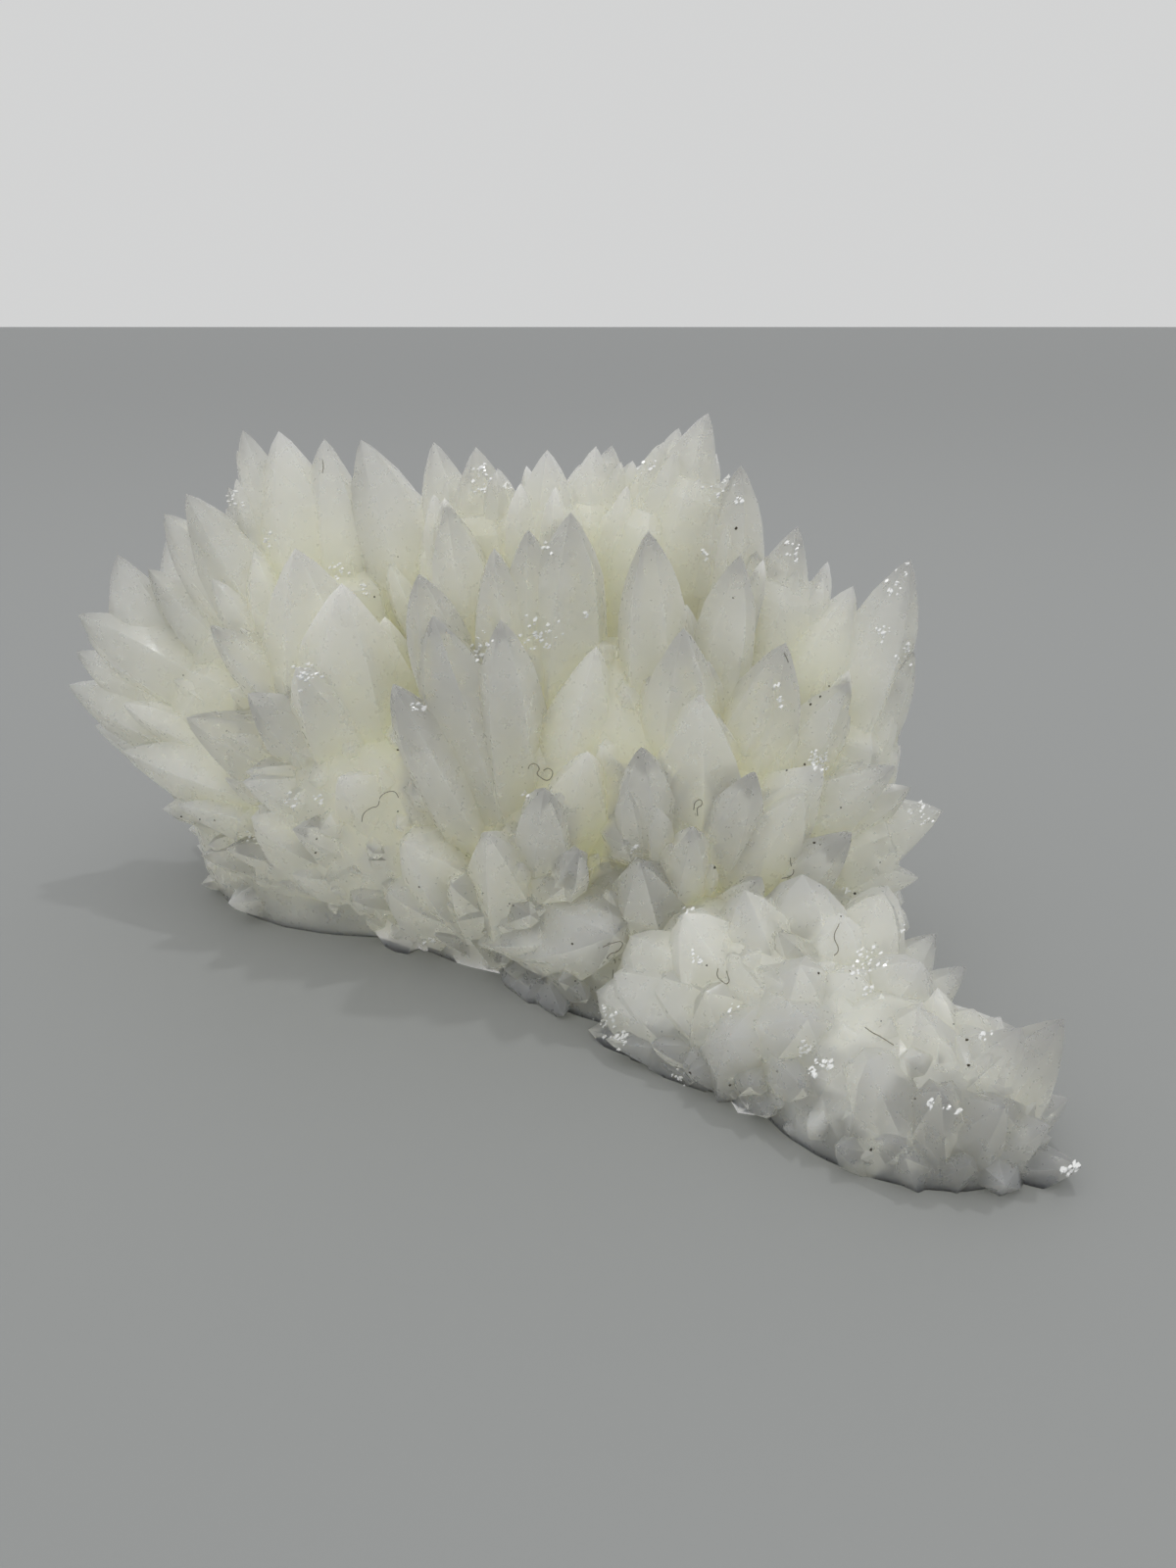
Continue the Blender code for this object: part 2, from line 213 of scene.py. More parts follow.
LEFT_SPRAY = Spray((-16, 18, 12), (
    (-67, 24, 31, 32, 14, 4, 0.3), (-65, 24, 36, 18, 8, 1, 0.4), (-63, 22, 42, 30, 13, 2, 0.4),
    (-65, 26, 24, 30, 16, 5, 0.3), (-57, 15, 24, 28, 16, 3, 0.2), (-53, 24, 48, 26, 10, 1, 0.4),
    (-49, 22, 56, 30, 10, 1, 0.5), (-45, 20, 59, 36, 17, 2, 0.4), (-41, 26, 59, 16, 8, 3, 0.6),
    (-40, 8, 44, 22, 10, 1, 0.4), (-44, 6, 32, 22, 14, 2, 0.4), (-34, 1, 37, 20, 12, 0, 0.6),
    (-27, -1, 41, 20, 13, 2, 0.2), (-36, 1, 25, 22, 14, 4, 0.2),
))

LEFT_LEAF_SPRAY = Spray((-44, 22, 4), (
    (-57, 24, 50, 24, 10, 0, 0.6), (-52, 32, 52, 22, 9, 0, 0.6),
))

LOW_LEFT_SPRAY = Spray((-12, 14, 8), (
    (-46, 10, 10, 26, 16, 3, 0.3), (-41, 6, 13, 22, 12, 2, 0.35), (-38, 9, 6, 22, 12, 1, 0.3),
    (-29, -3, 20, 18, 14, 3, 0.3), (-22, -5, 28, 18, 13, 3, 0.1), (-19, -4, 16, 16, 14, 2, 0.4),
    (-27, 4, 5, 18, 12, 2, 0.2), (-36, 3, 19, 20, 13, 2, 0.1), (-31, 2, 11, 20, 13, 2, 0.1),
    (-52, 18, 16, 24, 13, 2, 0.4), (-48, 22, 7, 22, 12, 1, 0.4), (-46, 16, 2, 24, 14, 1, 0.3),
    (-50, 28, 6, 22, 14, 1, 0.3), (-22, -2, 9, 16, 12, 2, 0.2),
))

CROWN_LEFT_SPRAY = Spray((-22, 18, 0), (
    (-37, 22, 67, 22, 8, 2, 0.5), (-32, 21, 67, 40, 17, 3, 0.2), (-26, 21, 66, 34, 12, 1, 0.3),
    (-28, 8, 54, 28, 16, 3, 0.2), (-21, 1, 51, 26, 14, 4, 0.1),
))

CROWN_SPRAY = Spray((2, 14, 0), (
    (-21, 20, 66, 34, 14, 2, 0.6), (-11, 17, 66, 32, 10, 2, 0.3), (-5, 11, 66, 34, 14, 12, 0.3),
    (4, 8, 66, 32, 12, 8, 0.2), (10, 12, 66, 34, 12, 6, 0.2), (12, 13, 66, 34, 10, 4, 0.3),
    (24, 12, 70, 38, 14, 12, 0.3), (18, 11, 66, 34, 13, 8, 0.2),
))

CROWN_RIGHT_SPRAY = Spray((24, 10, 0), (
    (28, 9, 64, 32, 12, 2, 0.7), (30, 6, 54, 20, 8, 2, 0.3), (35, 6, 57, 28, 12, 9, 0.4),
))

RIGHT_SPEAR_SPRAY = Spray((33, 4, 0), (
    (48, 1, 54, 38, 14, 4, 0.4), (49, -1, 43, 24, 10, 4, 0.4), (48, 0, 35, 20, 10, 4, 0.4),
))

RIGHT_SPRAY = Spray((26, 0, 12), (
    (42, 4, 50, 16, 9, 1, 0.2), (40, -7, 41, 24, 12, 2, 0.3), (36, -14, 33, 18, 12, 2, 0.2),
    (46, -9, 31, 22, 12, 2, 0.3), (49, -6, 27, 20, 9, 4, 0.4), (54, -4, 23, 28, 16, 3, 0.3),
    (51, -7, 15, 22, 10, 5, 0.3), (50, -9, 9, 20, 10, 3, 0.2), (50, 4, 6, 22, 15, 2, 0.2),
    (47, 11, 5, 22, 14, 1, 0.2), (51, -2, 9, 22, 12, 2, 0.2), (46, 12, 18, 22, 14, 2, 0.2),
))

FRONT_SPRAY = Spray((2, 6, -4), (
    (-8, 3, 60, 30, 9, 0, 0.5), (-11, -3, 53, 22, 8, 0, 0.8), (-9, -7, 49, 34, 13, 0, 0.9),
    (-14, -8, 41, 30, 10, 0, 1.0), (-2, -3, 56, 26, 10, 0, 0.3), (-1, -9, 49, 30, 10, 0, 0.8),
    (2, -2, 58, 22, 9, 1, 0.4), (7, -2, 60, 36, 12, 1, 0.5), (4, -16, 31, 22, 10, 2, 0.8),
    (8, -18, 24, 12, 6, 0, 0.9), (10, -6, 45, 22, 12, 2, 0.1), (9, -12, 34, 18, 10, 2, 0.1),
    (-3, -13, 24, 18, 13, 2, 0.2),
))

FRONT_RIGHT_SPRAY = Spray((20, 2, -6), (
    (16, -3, 58, 28, 10, 1, 0.6), (27, -2, 55, 26, 9, 0, 0.6), (20, -9, 48, 24, 13, 2, 0.3),
    (22, -12, 41, 22, 13, 3, 0.2), (32, -8, 46, 24, 13, 2, 0.3), (15, -16, 36, 22, 10, 2, 0.9),
    (28, -16, 33, 22, 9, 0, 0.9), (34, -15, 30, 18, 12, 3, 0.2), (15, -19, 23, 18, 16, 3, 0.6),
    (21, -18, 27, 16, 10, 3, 0.3), (29, -19, 21, 12, 6, 0, 0.6), (40, -15, 25, 22, 12, 0, 0.7),
))

LOW_FRONT_SPRAY = Spray((0, 8, 2), (
    (-14, -7, 20, 18, 13, 3, 0.1), (-8, -11, 16, 16, 12, 3, 0.3), (-17, -5, 12, 16, 13, 3, 0.2),
    (-11, -6, 8, 16, 14, 3, 0.3), (-5, -9, 11, 16, 14, 3, 0.3), (-2, -11, 5, 16, 12, 3, 0.4),
    (3, -13, 4, 16, 12, 3, 0.4), (8, -17, 12, 18, 14, 3, 0.2), (2, -15, 14, 16, 12, 3, 0.3),
    (9, -18, 4, 18, 12, 3, 0.3), (6, -17, 1, 16, 12, 3, 0.3), (12, -20, 14, 20, 13, 3, 0.2),
    (7, -16, 19, 18, 12, 3, 0.3), (-8, -4, 2, 14, 12, 2, 0.3), (-18, 1, 2, 14, 12, 2, 0.3),
))

TAIL_TOP_SPRAY = Spray((34, -22, -8), (
    (27, -20, 20, 18, 13, 3, 0.2), (34, -18, 21, 20, 13, 4, 0.2), (46, -11, 16, 20, 12, 3, 0.2),
    (32, -30, 16, 16, 13, 3, 0.2), (51, -16, 12, 16, 10, 3, 0.3), (53, -22, 11, 16, 10, 3, 0.3),
    (44, -17, 18, 18, 12, 4, 0.2), (38, -22, 18, 16, 12, 3, 0.1), (31, -24, 17, 16, 13, 4, 0.3),
    (25, -26, 15, 16, 12, 3, 0.2), (20, -22, 18, 18, 13, 3, 0.1), (14, -20, 14, 18, 13, 3, 0.2),
    (46, -28, 15, 16, 12, 3, 0.2), (38, -30, 15, 16, 12, 4, 0.1),
))

TAIL_FRONT_SPRAY = Spray((30, -24, 0), (
    (9, -20, 1, 20, 12, 3, 0.3), (12, -22, 10, 18, 13, 3, 0.2), (10, -21, 7, 18, 12, 3, 0.2),
    (11, -25, 3, 16, 10, 4, 0.3), (16, -29, 5, 16, 12, 4, 0.3), (20, -33, 4, 16, 10, 4, 0.3),
    (24, -35, 10, 14, 12, 4, 0.2), (28, -39, 3, 14, 9, 3, 0.3), (32, -36, 13, 14, 12, 3, 0.2),
    (31, -41, 8, 16, 10, 3, 0.3), (22, -29, 12, 16, 13, 3, 0.2), (16, -24, 11, 16, 13, 3, 0.2),
    (26, -38, 6, 14, 11, 3, 0.3),
))

TAIL_END_SPRAY = Spray((46, -36, -6), (
    (56, -42, 17, 20, 12, 2, 0.4), (52, -42, 16, 20, 12, 2, 0.3), (50, -34, 13, 16, 12, 3, 0.2),
    (43, -37, 15, 18, 12, 3, 0.2), (37, -42, 12, 18, 13, 3, 0.2), (43, -47, 12, 18, 14, 1, 0.5),
    (49, -48, 11, 18, 14, 1, 0.4), (54, -47, 8, 16, 12, 2, 0.3), (58, -47, 3, 16, 10, 3, 0.4),
    (40, -48, 5, 16, 12, 2, 0.3), (34, -45, 4, 16, 12, 2, 0.3), (46, -49, 5, 16, 12, 2, 0.4),
    (59, -40, 6, 18, 12, 2, 0.3),
))

TAIL_BACK_SPRAY = Spray((40, -22, 0), (
    (53, -24, 4, 18, 10, 3, 0.5), (57, -31, 8, 18, 10, 3, 0.5), (51, -15, 3, 18, 10, 3, 0.5),
    (50, -7, 5, 20, 12, 3, 0.5),
))

NAMED_SPRAYS = (
    LEFT_SPRAY, LEFT_LEAF_SPRAY, LOW_LEFT_SPRAY, CROWN_LEFT_SPRAY, CROWN_SPRAY,
    CROWN_RIGHT_SPRAY, RIGHT_SPEAR_SPRAY, RIGHT_SPRAY, FRONT_SPRAY, FRONT_RIGHT_SPRAY,
    LOW_FRONT_SPRAY, TAIL_TOP_SPRAY, TAIL_FRONT_SPRAY, TAIL_END_SPRAY, TAIL_BACK_SPRAY,
)
print(sum(len(spray.crystals) for spray in NAMED_SPRAYS), "crystals in", len(NAMED_SPRAYS), "sprays")

# %% [markdown]
# ## The far side
# The picture doesn't show the back, so its crystals aren't listed one by one. They follow an even
# spiral over the half dome, with a skirt of low ones round its foot, as in the CAD body. Random
# places could clump or leave holes. A spiral that turns by the golden angle at each step fills
# the dome evenly without rows, and a few slow waves keep its crystals from looking alike.

# %% Spread directions evenly
DOME_CENTRE = Vector((-4, 17, 6))
DOME_RADII = Vector((60, 34, 58))
DOME_TURN = math.radians(-22)


def spiral_way(index, count):
    """One of some directions that are spread evenly over a ball."""
    height = 1 - 2 * (index + 0.5) / count
    ring = math.sqrt(1 - height * height)
    angle = index * GOLDEN_ANGLE
    return Vector((ring * math.cos(angle), ring * math.sin(angle), height))


def dome_way(way):
    """A direction stretched and turned with the dome."""
    stretched = Vector((way.x * DOME_RADII.x, way.y * DOME_RADII.y, way.z * DOME_RADII.z))
    return Matrix.Rotation(DOME_TURN, 3, "Z") @ stretched


def wave(index, middle, swing, pace):
    """A value that swings round its middle from crystal to crystal."""
    return middle + swing * math.sin(pace * index)


print("the dome is", [round(2 * radius) for radius in DOME_RADII], "mm across")

# %% Grow the far side
Growth = namedtuple("Growth", "root tip length width teeth clear")

DOME_ROOT_SHARE = 0.15
SPIRAL_COUNT = 94
SPIRAL_FRONT_LIMIT = 0.10
FAR_LENGTH = 30
FAR_WIDTH = 14
FAR_TEETH = 3

# The waves: middle, swing and pace.
REACH_WAVE = (0.93, 0.07, 5.0)
WIDTH_WAVE = (1, 0.22, 2.3)
CLEARNESS_WAVE = (0.35, 0.25, 1.7)


def spiral_crystals():
    """The crystals of the spiral that stand on the far half."""
    grown = []
    for index in range(SPIRAL_COUNT // 2):
        way = spiral_way(index, SPIRAL_COUNT)
        if way.y < SPIRAL_FRONT_LIMIT:
            continue
        out = dome_way(way)
        tip = DOME_CENTRE + out * wave(index, *REACH_WAVE)
        width = FAR_WIDTH * wave(index, *WIDTH_WAVE)
        clear = wave(index, *CLEARNESS_WAVE)
        grown.append(Growth(DOME_CENTRE + out * DOME_ROOT_SHARE, tip, FAR_LENGTH, width, FAR_TEETH, clear))
    return grown


print(len(spiral_crystals()), "crystals on the spiral")

# %% Grow the skirt and put all crystals in one list
SKIRT_COUNT = 12
SKIRT_START = math.radians(8)
SKIRT_END = math.radians(184)
SKIRT_REACH = 0.88
SKIRT_HEIGHT_WAVE = (8, 4, 3.1)
SKIRT_LENGTH = 26
SKIRT_WIDTH = 15
SKIRT_TEETH = 2
SKIRT_CLEARNESS = 0.3


def skirt_crystals():
    """The low crystals round the dome's foot."""
    grown = []
    for index in range(SKIRT_COUNT):
        angle = SKIRT_START + (SKIRT_END - SKIRT_START) * index / (SKIRT_COUNT - 1)
        out = dome_way(Vector((math.cos(angle), math.sin(angle), 0)))
        tip = DOME_CENTRE + out * SKIRT_REACH
        tip.z = wave(index, *SKIRT_HEIGHT_WAVE)
        grown.append(Growth(DOME_CENTRE + out * DOME_ROOT_SHARE, tip, SKIRT_LENGTH, SKIRT_WIDTH,
                            SKIRT_TEETH, SKIRT_CLEARNESS))
    return grown


main_crystals = [
    Growth(Vector(spray.root), Vector((x, y, z)), length, width, teeth, clear)
    for spray in NAMED_SPRAYS for x, y, z, length, width, teeth, clear in spray.crystals
] + spiral_crystals() + skirt_crystals()
print(len(main_crystals), "main crystals")

# %% [markdown]
# ## One dog-tooth crystal
# A dog-tooth crystal is a leaf-shaped spear: it swells quickly below its sharp tip, its edges
# bow outwards, and it runs down into the mass it grew from. A cone would be too straight, and a
# subdivided shape too soft. It is drawn as a stack of uneven six-sided rings, so its faces meet
# in crisp edges.

# %% Draw a leaf-shaped spear
# The outlines: how far below the tip, in widths, and how wide the leaf is there, as a share.
LEAF_OUTLINE = (
    (0.0, 0.0), (0.10, 0.18), (0.24, 0.36), (0.42, 0.56), (0.66, 0.76), (1.0, 0.92), (1.4, 1.0), (2.1, 1.05))
BLUNT_OUTLINE = ((0.0, 0.0), (0.07, 0.28), (0.20, 0.54), (0.42, 0.78), (0.8, 0.96), (1.3, 1.02))
COARSE_OUTLINE = ((0.0, 0.0), (0.20, 0.44), (0.55, 0.80), (1.20, 1.0))
FOOT_SHARE = 0.95
LEAF_DEPTH = 0.82
OUTLINE_REACH = 0.9
RING_UNEVENNESS = 0.5
HALF_FACE = math.pi / 6

leaves = []


def draw_leaf(foot, tip, width, roll, sides, uneven, chance, outline=LEAF_OUTLINE):
    """Note the points and faces of one closed leaf-shaped spear."""
    axis = tip - foot
    length = axis.length
    upright = axis.to_track_quat("Z", "Y").to_matrix() @ Matrix.Rotation(roll, 3, "Z")
    levels = [(length - below * width, share) for below, share in outline[1:]
              if below * width < OUTLINE_REACH * length]
    levels.append((0.0, FOOT_SHARE))
    points = []
    faces = []
    bows = [1 + uneven * chance.uniform(-1, 1) for side in range(sides)]
    for along, share in levels:
        for side in range(sides):
            angle = math.tau * side / sides
            hexagon = math.cos(HALF_FACE) / math.cos(angle % (2 * HALF_FACE) - HALF_FACE)
            ripple = 1 + uneven * RING_UNEVENNESS * chance.uniform(-1, 1)
            radius = width / 2 * share * hexagon * bows[side] * ripple
            across = Vector((radius * math.cos(angle), radius * math.sin(angle) * LEAF_DEPTH, along))
            points.append(foot + upright @ across)
    points.append(tip.copy())
    last = len(points) - 1
    for side in range(sides):
        after = (side + 1) % sides
        faces.append((side, after, last))
        for level in range(len(levels) - 1):
            upper = level * sides
            lower = upper + sides
            faces.append((lower + side, lower + after, upper + after, upper + side))
    ground = (len(levels) - 1) * sides
    faces.append(tuple(ground + side for side in reversed(range(sides))))
    leaves.append((points, faces))


print(len(LEAF_OUTLINE), "steps in the outline of a leaf")

# %% [markdown]
# ## Teeth on the shoulders
# Smaller teeth grow parallel to a crystal and break out of its shoulders, which gives the real
# ones their stepped, serrated edges. A noisy outline could fake them in one view. Small spears
# of their own look right from every side.

# %% Draw the teeth of a crystal
SIDES = 6
TOOTH_HIGHEST = 0.22
TOOTH_LOWEST = 1.5
TOOTH_FOOT = 0.6
LOOSE_TURNS = (-0.5, 0.5)
TOOTH_WIDTHS = (0.28, 0.55)
TOOTH_ASIDES = (0.95, 1.2)
TOOTH_LEANS = (-0.02, 0.06)
TOOTH_LENGTHS = (0.4, 0.9)
TOOTH_UNEVEN = 0.12


def ring_round(way):
    """Two directions across a crystal's way."""
    across = way.orthogonal().normalized()
    return across, way.cross(across)


def outwards(way, angle, depth=LEAF_DEPTH):
    """The direction out of a crystal's side, at an angle round its way."""
    across, beside = ring_round(way)
    return across * math.cos(angle) + beside * math.sin(angle) * depth


def outline_share(below):
    """How wide a leaf is, as a share of its width, at some widths below its tip."""
    return np.interp(below, *zip(*LEAF_OUTLINE))


def draw_teeth(foot, tip, width, count, chance):
    """Small spears that break out of a crystal's shoulders."""
    way = (tip - foot).normalized()
    length = (tip - foot).length
    for number in range(count):
        below = chance.uniform(TOOTH_HIGHEST, min(TOOTH_LOWEST, TOOTH_FOOT * length / width))
        angle = number * GOLDEN_ANGLE + chance.uniform(*LOOSE_TURNS)
        out = outwards(way, angle)
        tooth_width = width * chance.uniform(*TOOTH_WIDTHS)
        aside = width / 2 * float(outline_share(below)) * chance.uniform(*TOOTH_ASIDES)
        top = tip - way * below * width + out * aside
        lean = (way + out * chance.uniform(*TOOTH_LEANS)).normalized()
        tooth_length = (length - below * width) * chance.uniform(*TOOTH_LENGTHS)
        draw_leaf(top - lean * tooth_length, top, tooth_width, angle, SIDES, TOOTH_UNEVEN, chance)


print("teeth start", TOOTH_HIGHEST, "to", TOOTH_LOWEST, "widths below a tip")

# %% [markdown]
# ## The main crystals
# A clear crystal stands free and keeps its slender leaf shape. A milky one has all but grown into
# the mass, so only a broad point of it shows. The low ones at the foot are stubby. One loop
# draws them all, and picks width, outline and teeth by how milky and how low each one is.

# %% Draw the main crystals
MAIN_SIDES = 12
MAIN_UNEVEN = 0.06
EXTRA_TEETH = 3
CROWDED_TEETH = 3
CROWDED_WIDTH = 0.86
MELTED_CLEARNESS = 0.2
MELTED_HEIGHT = 60
MELTED_WIDTH = 1.4
MELTED_TEETH = 1
LOW_HEIGHT = 24
LOW_WIDTH = 1.1
BLUNT_CLEARNESS = 0.3


def way_of(growth):
    """The direction a crystal points in."""
    return (growth.tip - growth.root).normalized()


def foot_of(growth):
    """Where a crystal starts."""
    return growth.tip - way_of(growth) * growth.length


def melted(growth):
    """Whether a crystal is so milky that it has all but grown into the mass."""
    return growth.clear <= MELTED_CLEARNESS and growth.tip.z < MELTED_HEIGHT


for number, growth in enumerate(main_crystals):
    chance = random.Random(number)
    teeth = growth.teeth + EXTRA_TEETH * (growth.teeth > 1)
    stem = growth.width * (CROWDED_WIDTH if teeth > CROWDED_TEETH else 1.0)
    outline = LEAF_OUTLINE
    if growth.tip.z < LOW_HEIGHT:
        teeth = growth.teeth
        stem = growth.width * LOW_WIDTH
        outline = BLUNT_OUTLINE if growth.clear < BLUNT_CLEARNESS else LEAF_OUTLINE
    if melted(growth):
        teeth = MELTED_TEETH
        stem = growth.width * MELTED_WIDTH
    draw_leaf(foot_of(growth), growth.tip, stem, number * GOLDEN_ANGLE, MAIN_SIDES, MAIN_UNEVEN, chance,
              outline)
    draw_teeth(foot_of(growth), growth.tip, stem, teeth, chance)
print(len(leaves), "leaves with their teeth")

# %% [markdown]
# ## Serrated slabs
# Along the crown several crystals have merged side by side into a broad slab. Its top is nearly
# flat and stepped, with small teeth standing along it, and one sharper tip rises over it. One
# blunt spear makes the slab, and a ring of thin ones makes its teeth, so no new shape is needed.

# %% Build the slabs
SLAB_SEED = 4000
SERRATED_TEETH = 6
SLAB_OUTLINE = ((0.0, 0.0), (0.05, 0.60), (0.16, 0.82), (0.42, 0.95), (1.0, 1.0))
SLAB_DROP = 0.5
SLAB_WIDTH = 1.3
SLAB_UNEVEN = 0.08
SLAB_TOOTH_DROPS = (0.2, 0.55)
SLAB_TOOTH_ASIDES = (0.35, 0.95)
SLAB_TOOTH_WIDTHS = (0.2, 0.42)

for number, growth in enumerate(main_crystals):
    if growth.teeth < SERRATED_TEETH:
        continue
    chance = random.Random(SLAB_SEED + number)
    way = way_of(growth)
    slab_width = growth.width * SLAB_WIDTH
    top = growth.tip - way * growth.width * SLAB_DROP
    draw_leaf(foot_of(growth), top, slab_width, number * GOLDEN_ANGLE, SIDES, SLAB_UNEVEN, chance,
              SLAB_OUTLINE)
    for tooth in range(growth.teeth):
        angle = tooth * GOLDEN_ANGLE
        point = growth.tip - way * growth.width * chance.uniform(*SLAB_TOOTH_DROPS)
        point += outwards(way, angle) * slab_width / 2 * chance.uniform(*SLAB_TOOTH_ASIDES)
        tooth_width = growth.width * chance.uniform(*SLAB_TOOTH_WIDTHS)
        draw_leaf(point - way * growth.width, point, tooth_width, angle, SIDES, TOOTH_UNEVEN, chance)
print(len(leaves), "leaves with the slabs")

# %% [markdown]
# ## Milky shoulders
# Only the last centimetre or so of a milky crystal stands free. Below that the crystals have
# thickened until they touched, so each one stands on a broad shoulder that melts into its
# neighbours. In the ridge the shoulder comes up to just below the tip, so it looks like a block.
# A voxel remesh would also fill the gaps, but it would round every edge. A second, wider spear
# inside the first keeps them crisp. The clearest crystals stand free and get none.

# %% Widen the shoulders
SHOULDER_SEED = 2000
SHOULDER_OUTLINE = ((0.0, 0.0), (0.06, 0.42), (0.20, 0.74), (0.50, 0.94), (1.0, 1.02))
BLOCK_OUTLINE = ((0.0, 0.0), (0.12, 0.58), (0.45, 0.92), (1.2, 1.04))
SHOULDER_DROP = 1.1
SHOULDER_WIDTH = 1.7
BLOCK_DROP = 0.32
BLOCK_WIDTH = 1.4
WIDTH_CHANCES = (0.85, 1.1)
DROP_CHANCES = (0.9, 1.3)
SHOULDER_UNEVEN = 0.08
FREE_CLEARNESS = 0.45


def room_beside(point):
    """How far a point is inside the side walls of the CAD box, in millimetres."""
    place = placed(point)
    return min(min(place[axis] - cad_box[0][axis], cad_box[1][axis] - place[axis]) for axis in range(2)) / MM


for number, growth in enumerate(main_crystals):
    if growth.clear > FREE_CLEARNESS:
        continue
    chance = random.Random(SHOULDER_SEED + number)
    blocky = growth.tip.z < LOW_HEIGHT
    width = growth.width * (BLOCK_WIDTH if blocky else SHOULDER_WIDTH) * chance.uniform(*WIDTH_CHANCES)
    drop = growth.width * (BLOCK_DROP if blocky else SHOULDER_DROP) * chance.uniform(*DROP_CHANCES)
    top = growth.tip - way_of(growth) * drop
    width = min(width, 2 * room_beside(top))
    draw_leaf(foot_of(growth), top, width, number * GOLDEN_ANGLE, SIDES, SHOULDER_UNEVEN, chance,
              BLOCK_OUTLINE if blocky else SHOULDER_OUTLINE)
print(len(leaves), "leaves with the shoulders")

# %% [markdown]
# ## Younger crystals in the gaps
# Between the big crystals the real cluster is filled with shorter ones, which is why no deep
# dark gaps show. Each big crystal that stands free gets one neighbour, which leans away from it
# and stops lower. Tying it to the big one puts it in a gap without any search for gaps.

# %% Fill the gaps
NEIGHBOUR_SEED = 1000
NEIGHBOUR_LEANS = (0.05, 0.24)
NEIGHBOUR_WIDTHS = (0.4, 0.9)
NEIGHBOUR_DROPS = (0.8, 1.8)
NEIGHBOUR_ASIDES = (0.4, 0.8)
NEIGHBOUR_LENGTH = 0.7
NEIGHBOUR_TEETH = 2
NEIGHBOUR_UNEVEN = 0.10

for number, growth in enumerate(main_crystals):
    if melted(growth) or growth.tip.z < LOW_HEIGHT:
        continue
    chance = random.Random(NEIGHBOUR_SEED + number)
    way = way_of(growth)
    angle = chance.uniform(*LOOSE_TURNS)
    out = outwards(way, angle, depth=1)
    lean = (way + out * chance.uniform(*NEIGHBOUR_LEANS)).normalized()
    width = growth.width * chance.uniform(*NEIGHBOUR_WIDTHS)
    drop = growth.width * chance.uniform(*NEIGHBOUR_DROPS)
    top = growth.tip - way * drop + out * growth.width * chance.uniform(*NEIGHBOUR_ASIDES)
    foot = top - lean * growth.length * NEIGHBOUR_LENGTH
    draw_leaf(foot, top, width, angle, SIDES, NEIGHBOUR_UNEVEN, chance)
    draw_teeth(foot, top, width, NEIGHBOUR_TEETH, chance)
print(len(leaves), "leaves with the younger crystals")

# %% [markdown]
# ## The milky root
# The crystals grow from a solid milky mass with a rough skin. One displaced ball could stand for
# it, but its bumps would be round. Here a few overlapping lumps give the mass, and a crust of
# small spears gives it crystal faces. Each row is a lump's centre and radii in millimetres, its
# turn in degrees, how many crystals cover it, and how many widths they stand out at most.

# %% List the lumps of the root
Lump = namedtuple("Lump", "centre radii turn crust rise")

ROOT_LUMPS = (
    Lump((-24, 20, 12), (27, 17, 28), -12, 150, 0.5),
    Lump((4, 14, 12), (28, 22, 37), -22, 150, 0.5),
    Lump((12, 2, 22), (18, 12, 22), -22, 90, 0.4),
    Lump((-18, 8, 18), (18, 11, 16), -15, 110, 0.45),
    Lump((26, 4, 10), (19, 15, 28), -40, 110, 0.4),
    Lump((13, -6, 2), (16, 11, 18), -35, 90, 0.4),
    Lump((28, -18, 3), (19, 14, 14), -40, 120, 0.28),
    Lump((42, -34, 2), (16, 12, 11), -35, 120, 0.28),
)


def lump_turn(lump):
    """The turn of a lump about the upright."""
    return Matrix.Rotation(math.radians(lump.turn), 3, "Z")


def on_lump(lump, way):
    """The point of a lump's surface in some direction."""
    stretched = Vector([part * radius for part, radius in zip(way, lump.radii)])
    return Vector(lump.centre) + lump_turn(lump) @ stretched


print(len(ROOT_LUMPS), "lumps")

# %% Draw the lumps and their crust
LUMP_FINENESS = 3
CRUST_SEED = 3000
CRUST_FLOOR = 1.5
CRUST_SCATTER = (-0.45, 0.45)
CRUST_UPWARD = 0.12
CRUST_WIDTHS = (5.0, 11.0)
CRUST_LEAST_RISE = 0.05
CRUST_UNEVEN = 0.14


def draw_lump(lump):
    """Note the points and faces of one rounded lump."""
    ball = bmesh.new()
    bmesh.ops.create_icosphere(ball, subdivisions=LUMP_FINENESS, radius=1.0)
    points = [on_lump(lump, vertex.co) for vertex in ball.verts]
    leaves.append((points, [tuple(vertex.index for vertex in face.verts) for face in ball.faces]))
    ball.free()


def draw_crust(lump, chance):
    """Cover a lump with small crystals that stand on it and never point down."""
    for index in range(lump.crust):
        way = spiral_way(index, lump.crust)
        place = on_lump(lump, way)
        if place.z < CRUST_FLOOR:
            continue
        out = lump_turn(lump) @ Vector([part / radius for part, radius in zip(way, lump.radii)])
        out = out.normalized() + Vector([chance.uniform(*CRUST_SCATTER) for axis in range(3)])
        out.z = max(out.z, CRUST_UPWARD)
        out.normalize()
        width = chance.uniform(*CRUST_WIDTHS)
        tip = place + out * width * chance.uniform(CRUST_LEAST_RISE, lump.rise)
        draw_leaf(place - out * width, tip, width, index * GOLDEN_ANGLE, SIDES, CRUST_UNEVEN, chance,
                  COARSE_OUTLINE)


for number, lump in enumerate(ROOT_LUMPS):
    draw_lump(lump)
    draw_crust(lump, random.Random(CRUST_SEED + number))
print(len(leaves), "leaves with the crust")

# %% [markdown]
# ## Growing the leaves together
# The real crystals grew into each other. A voxel remesh would join the leaves too, but it would
# round their creases. A Boolean union of all the closed leaves keeps them crisp.

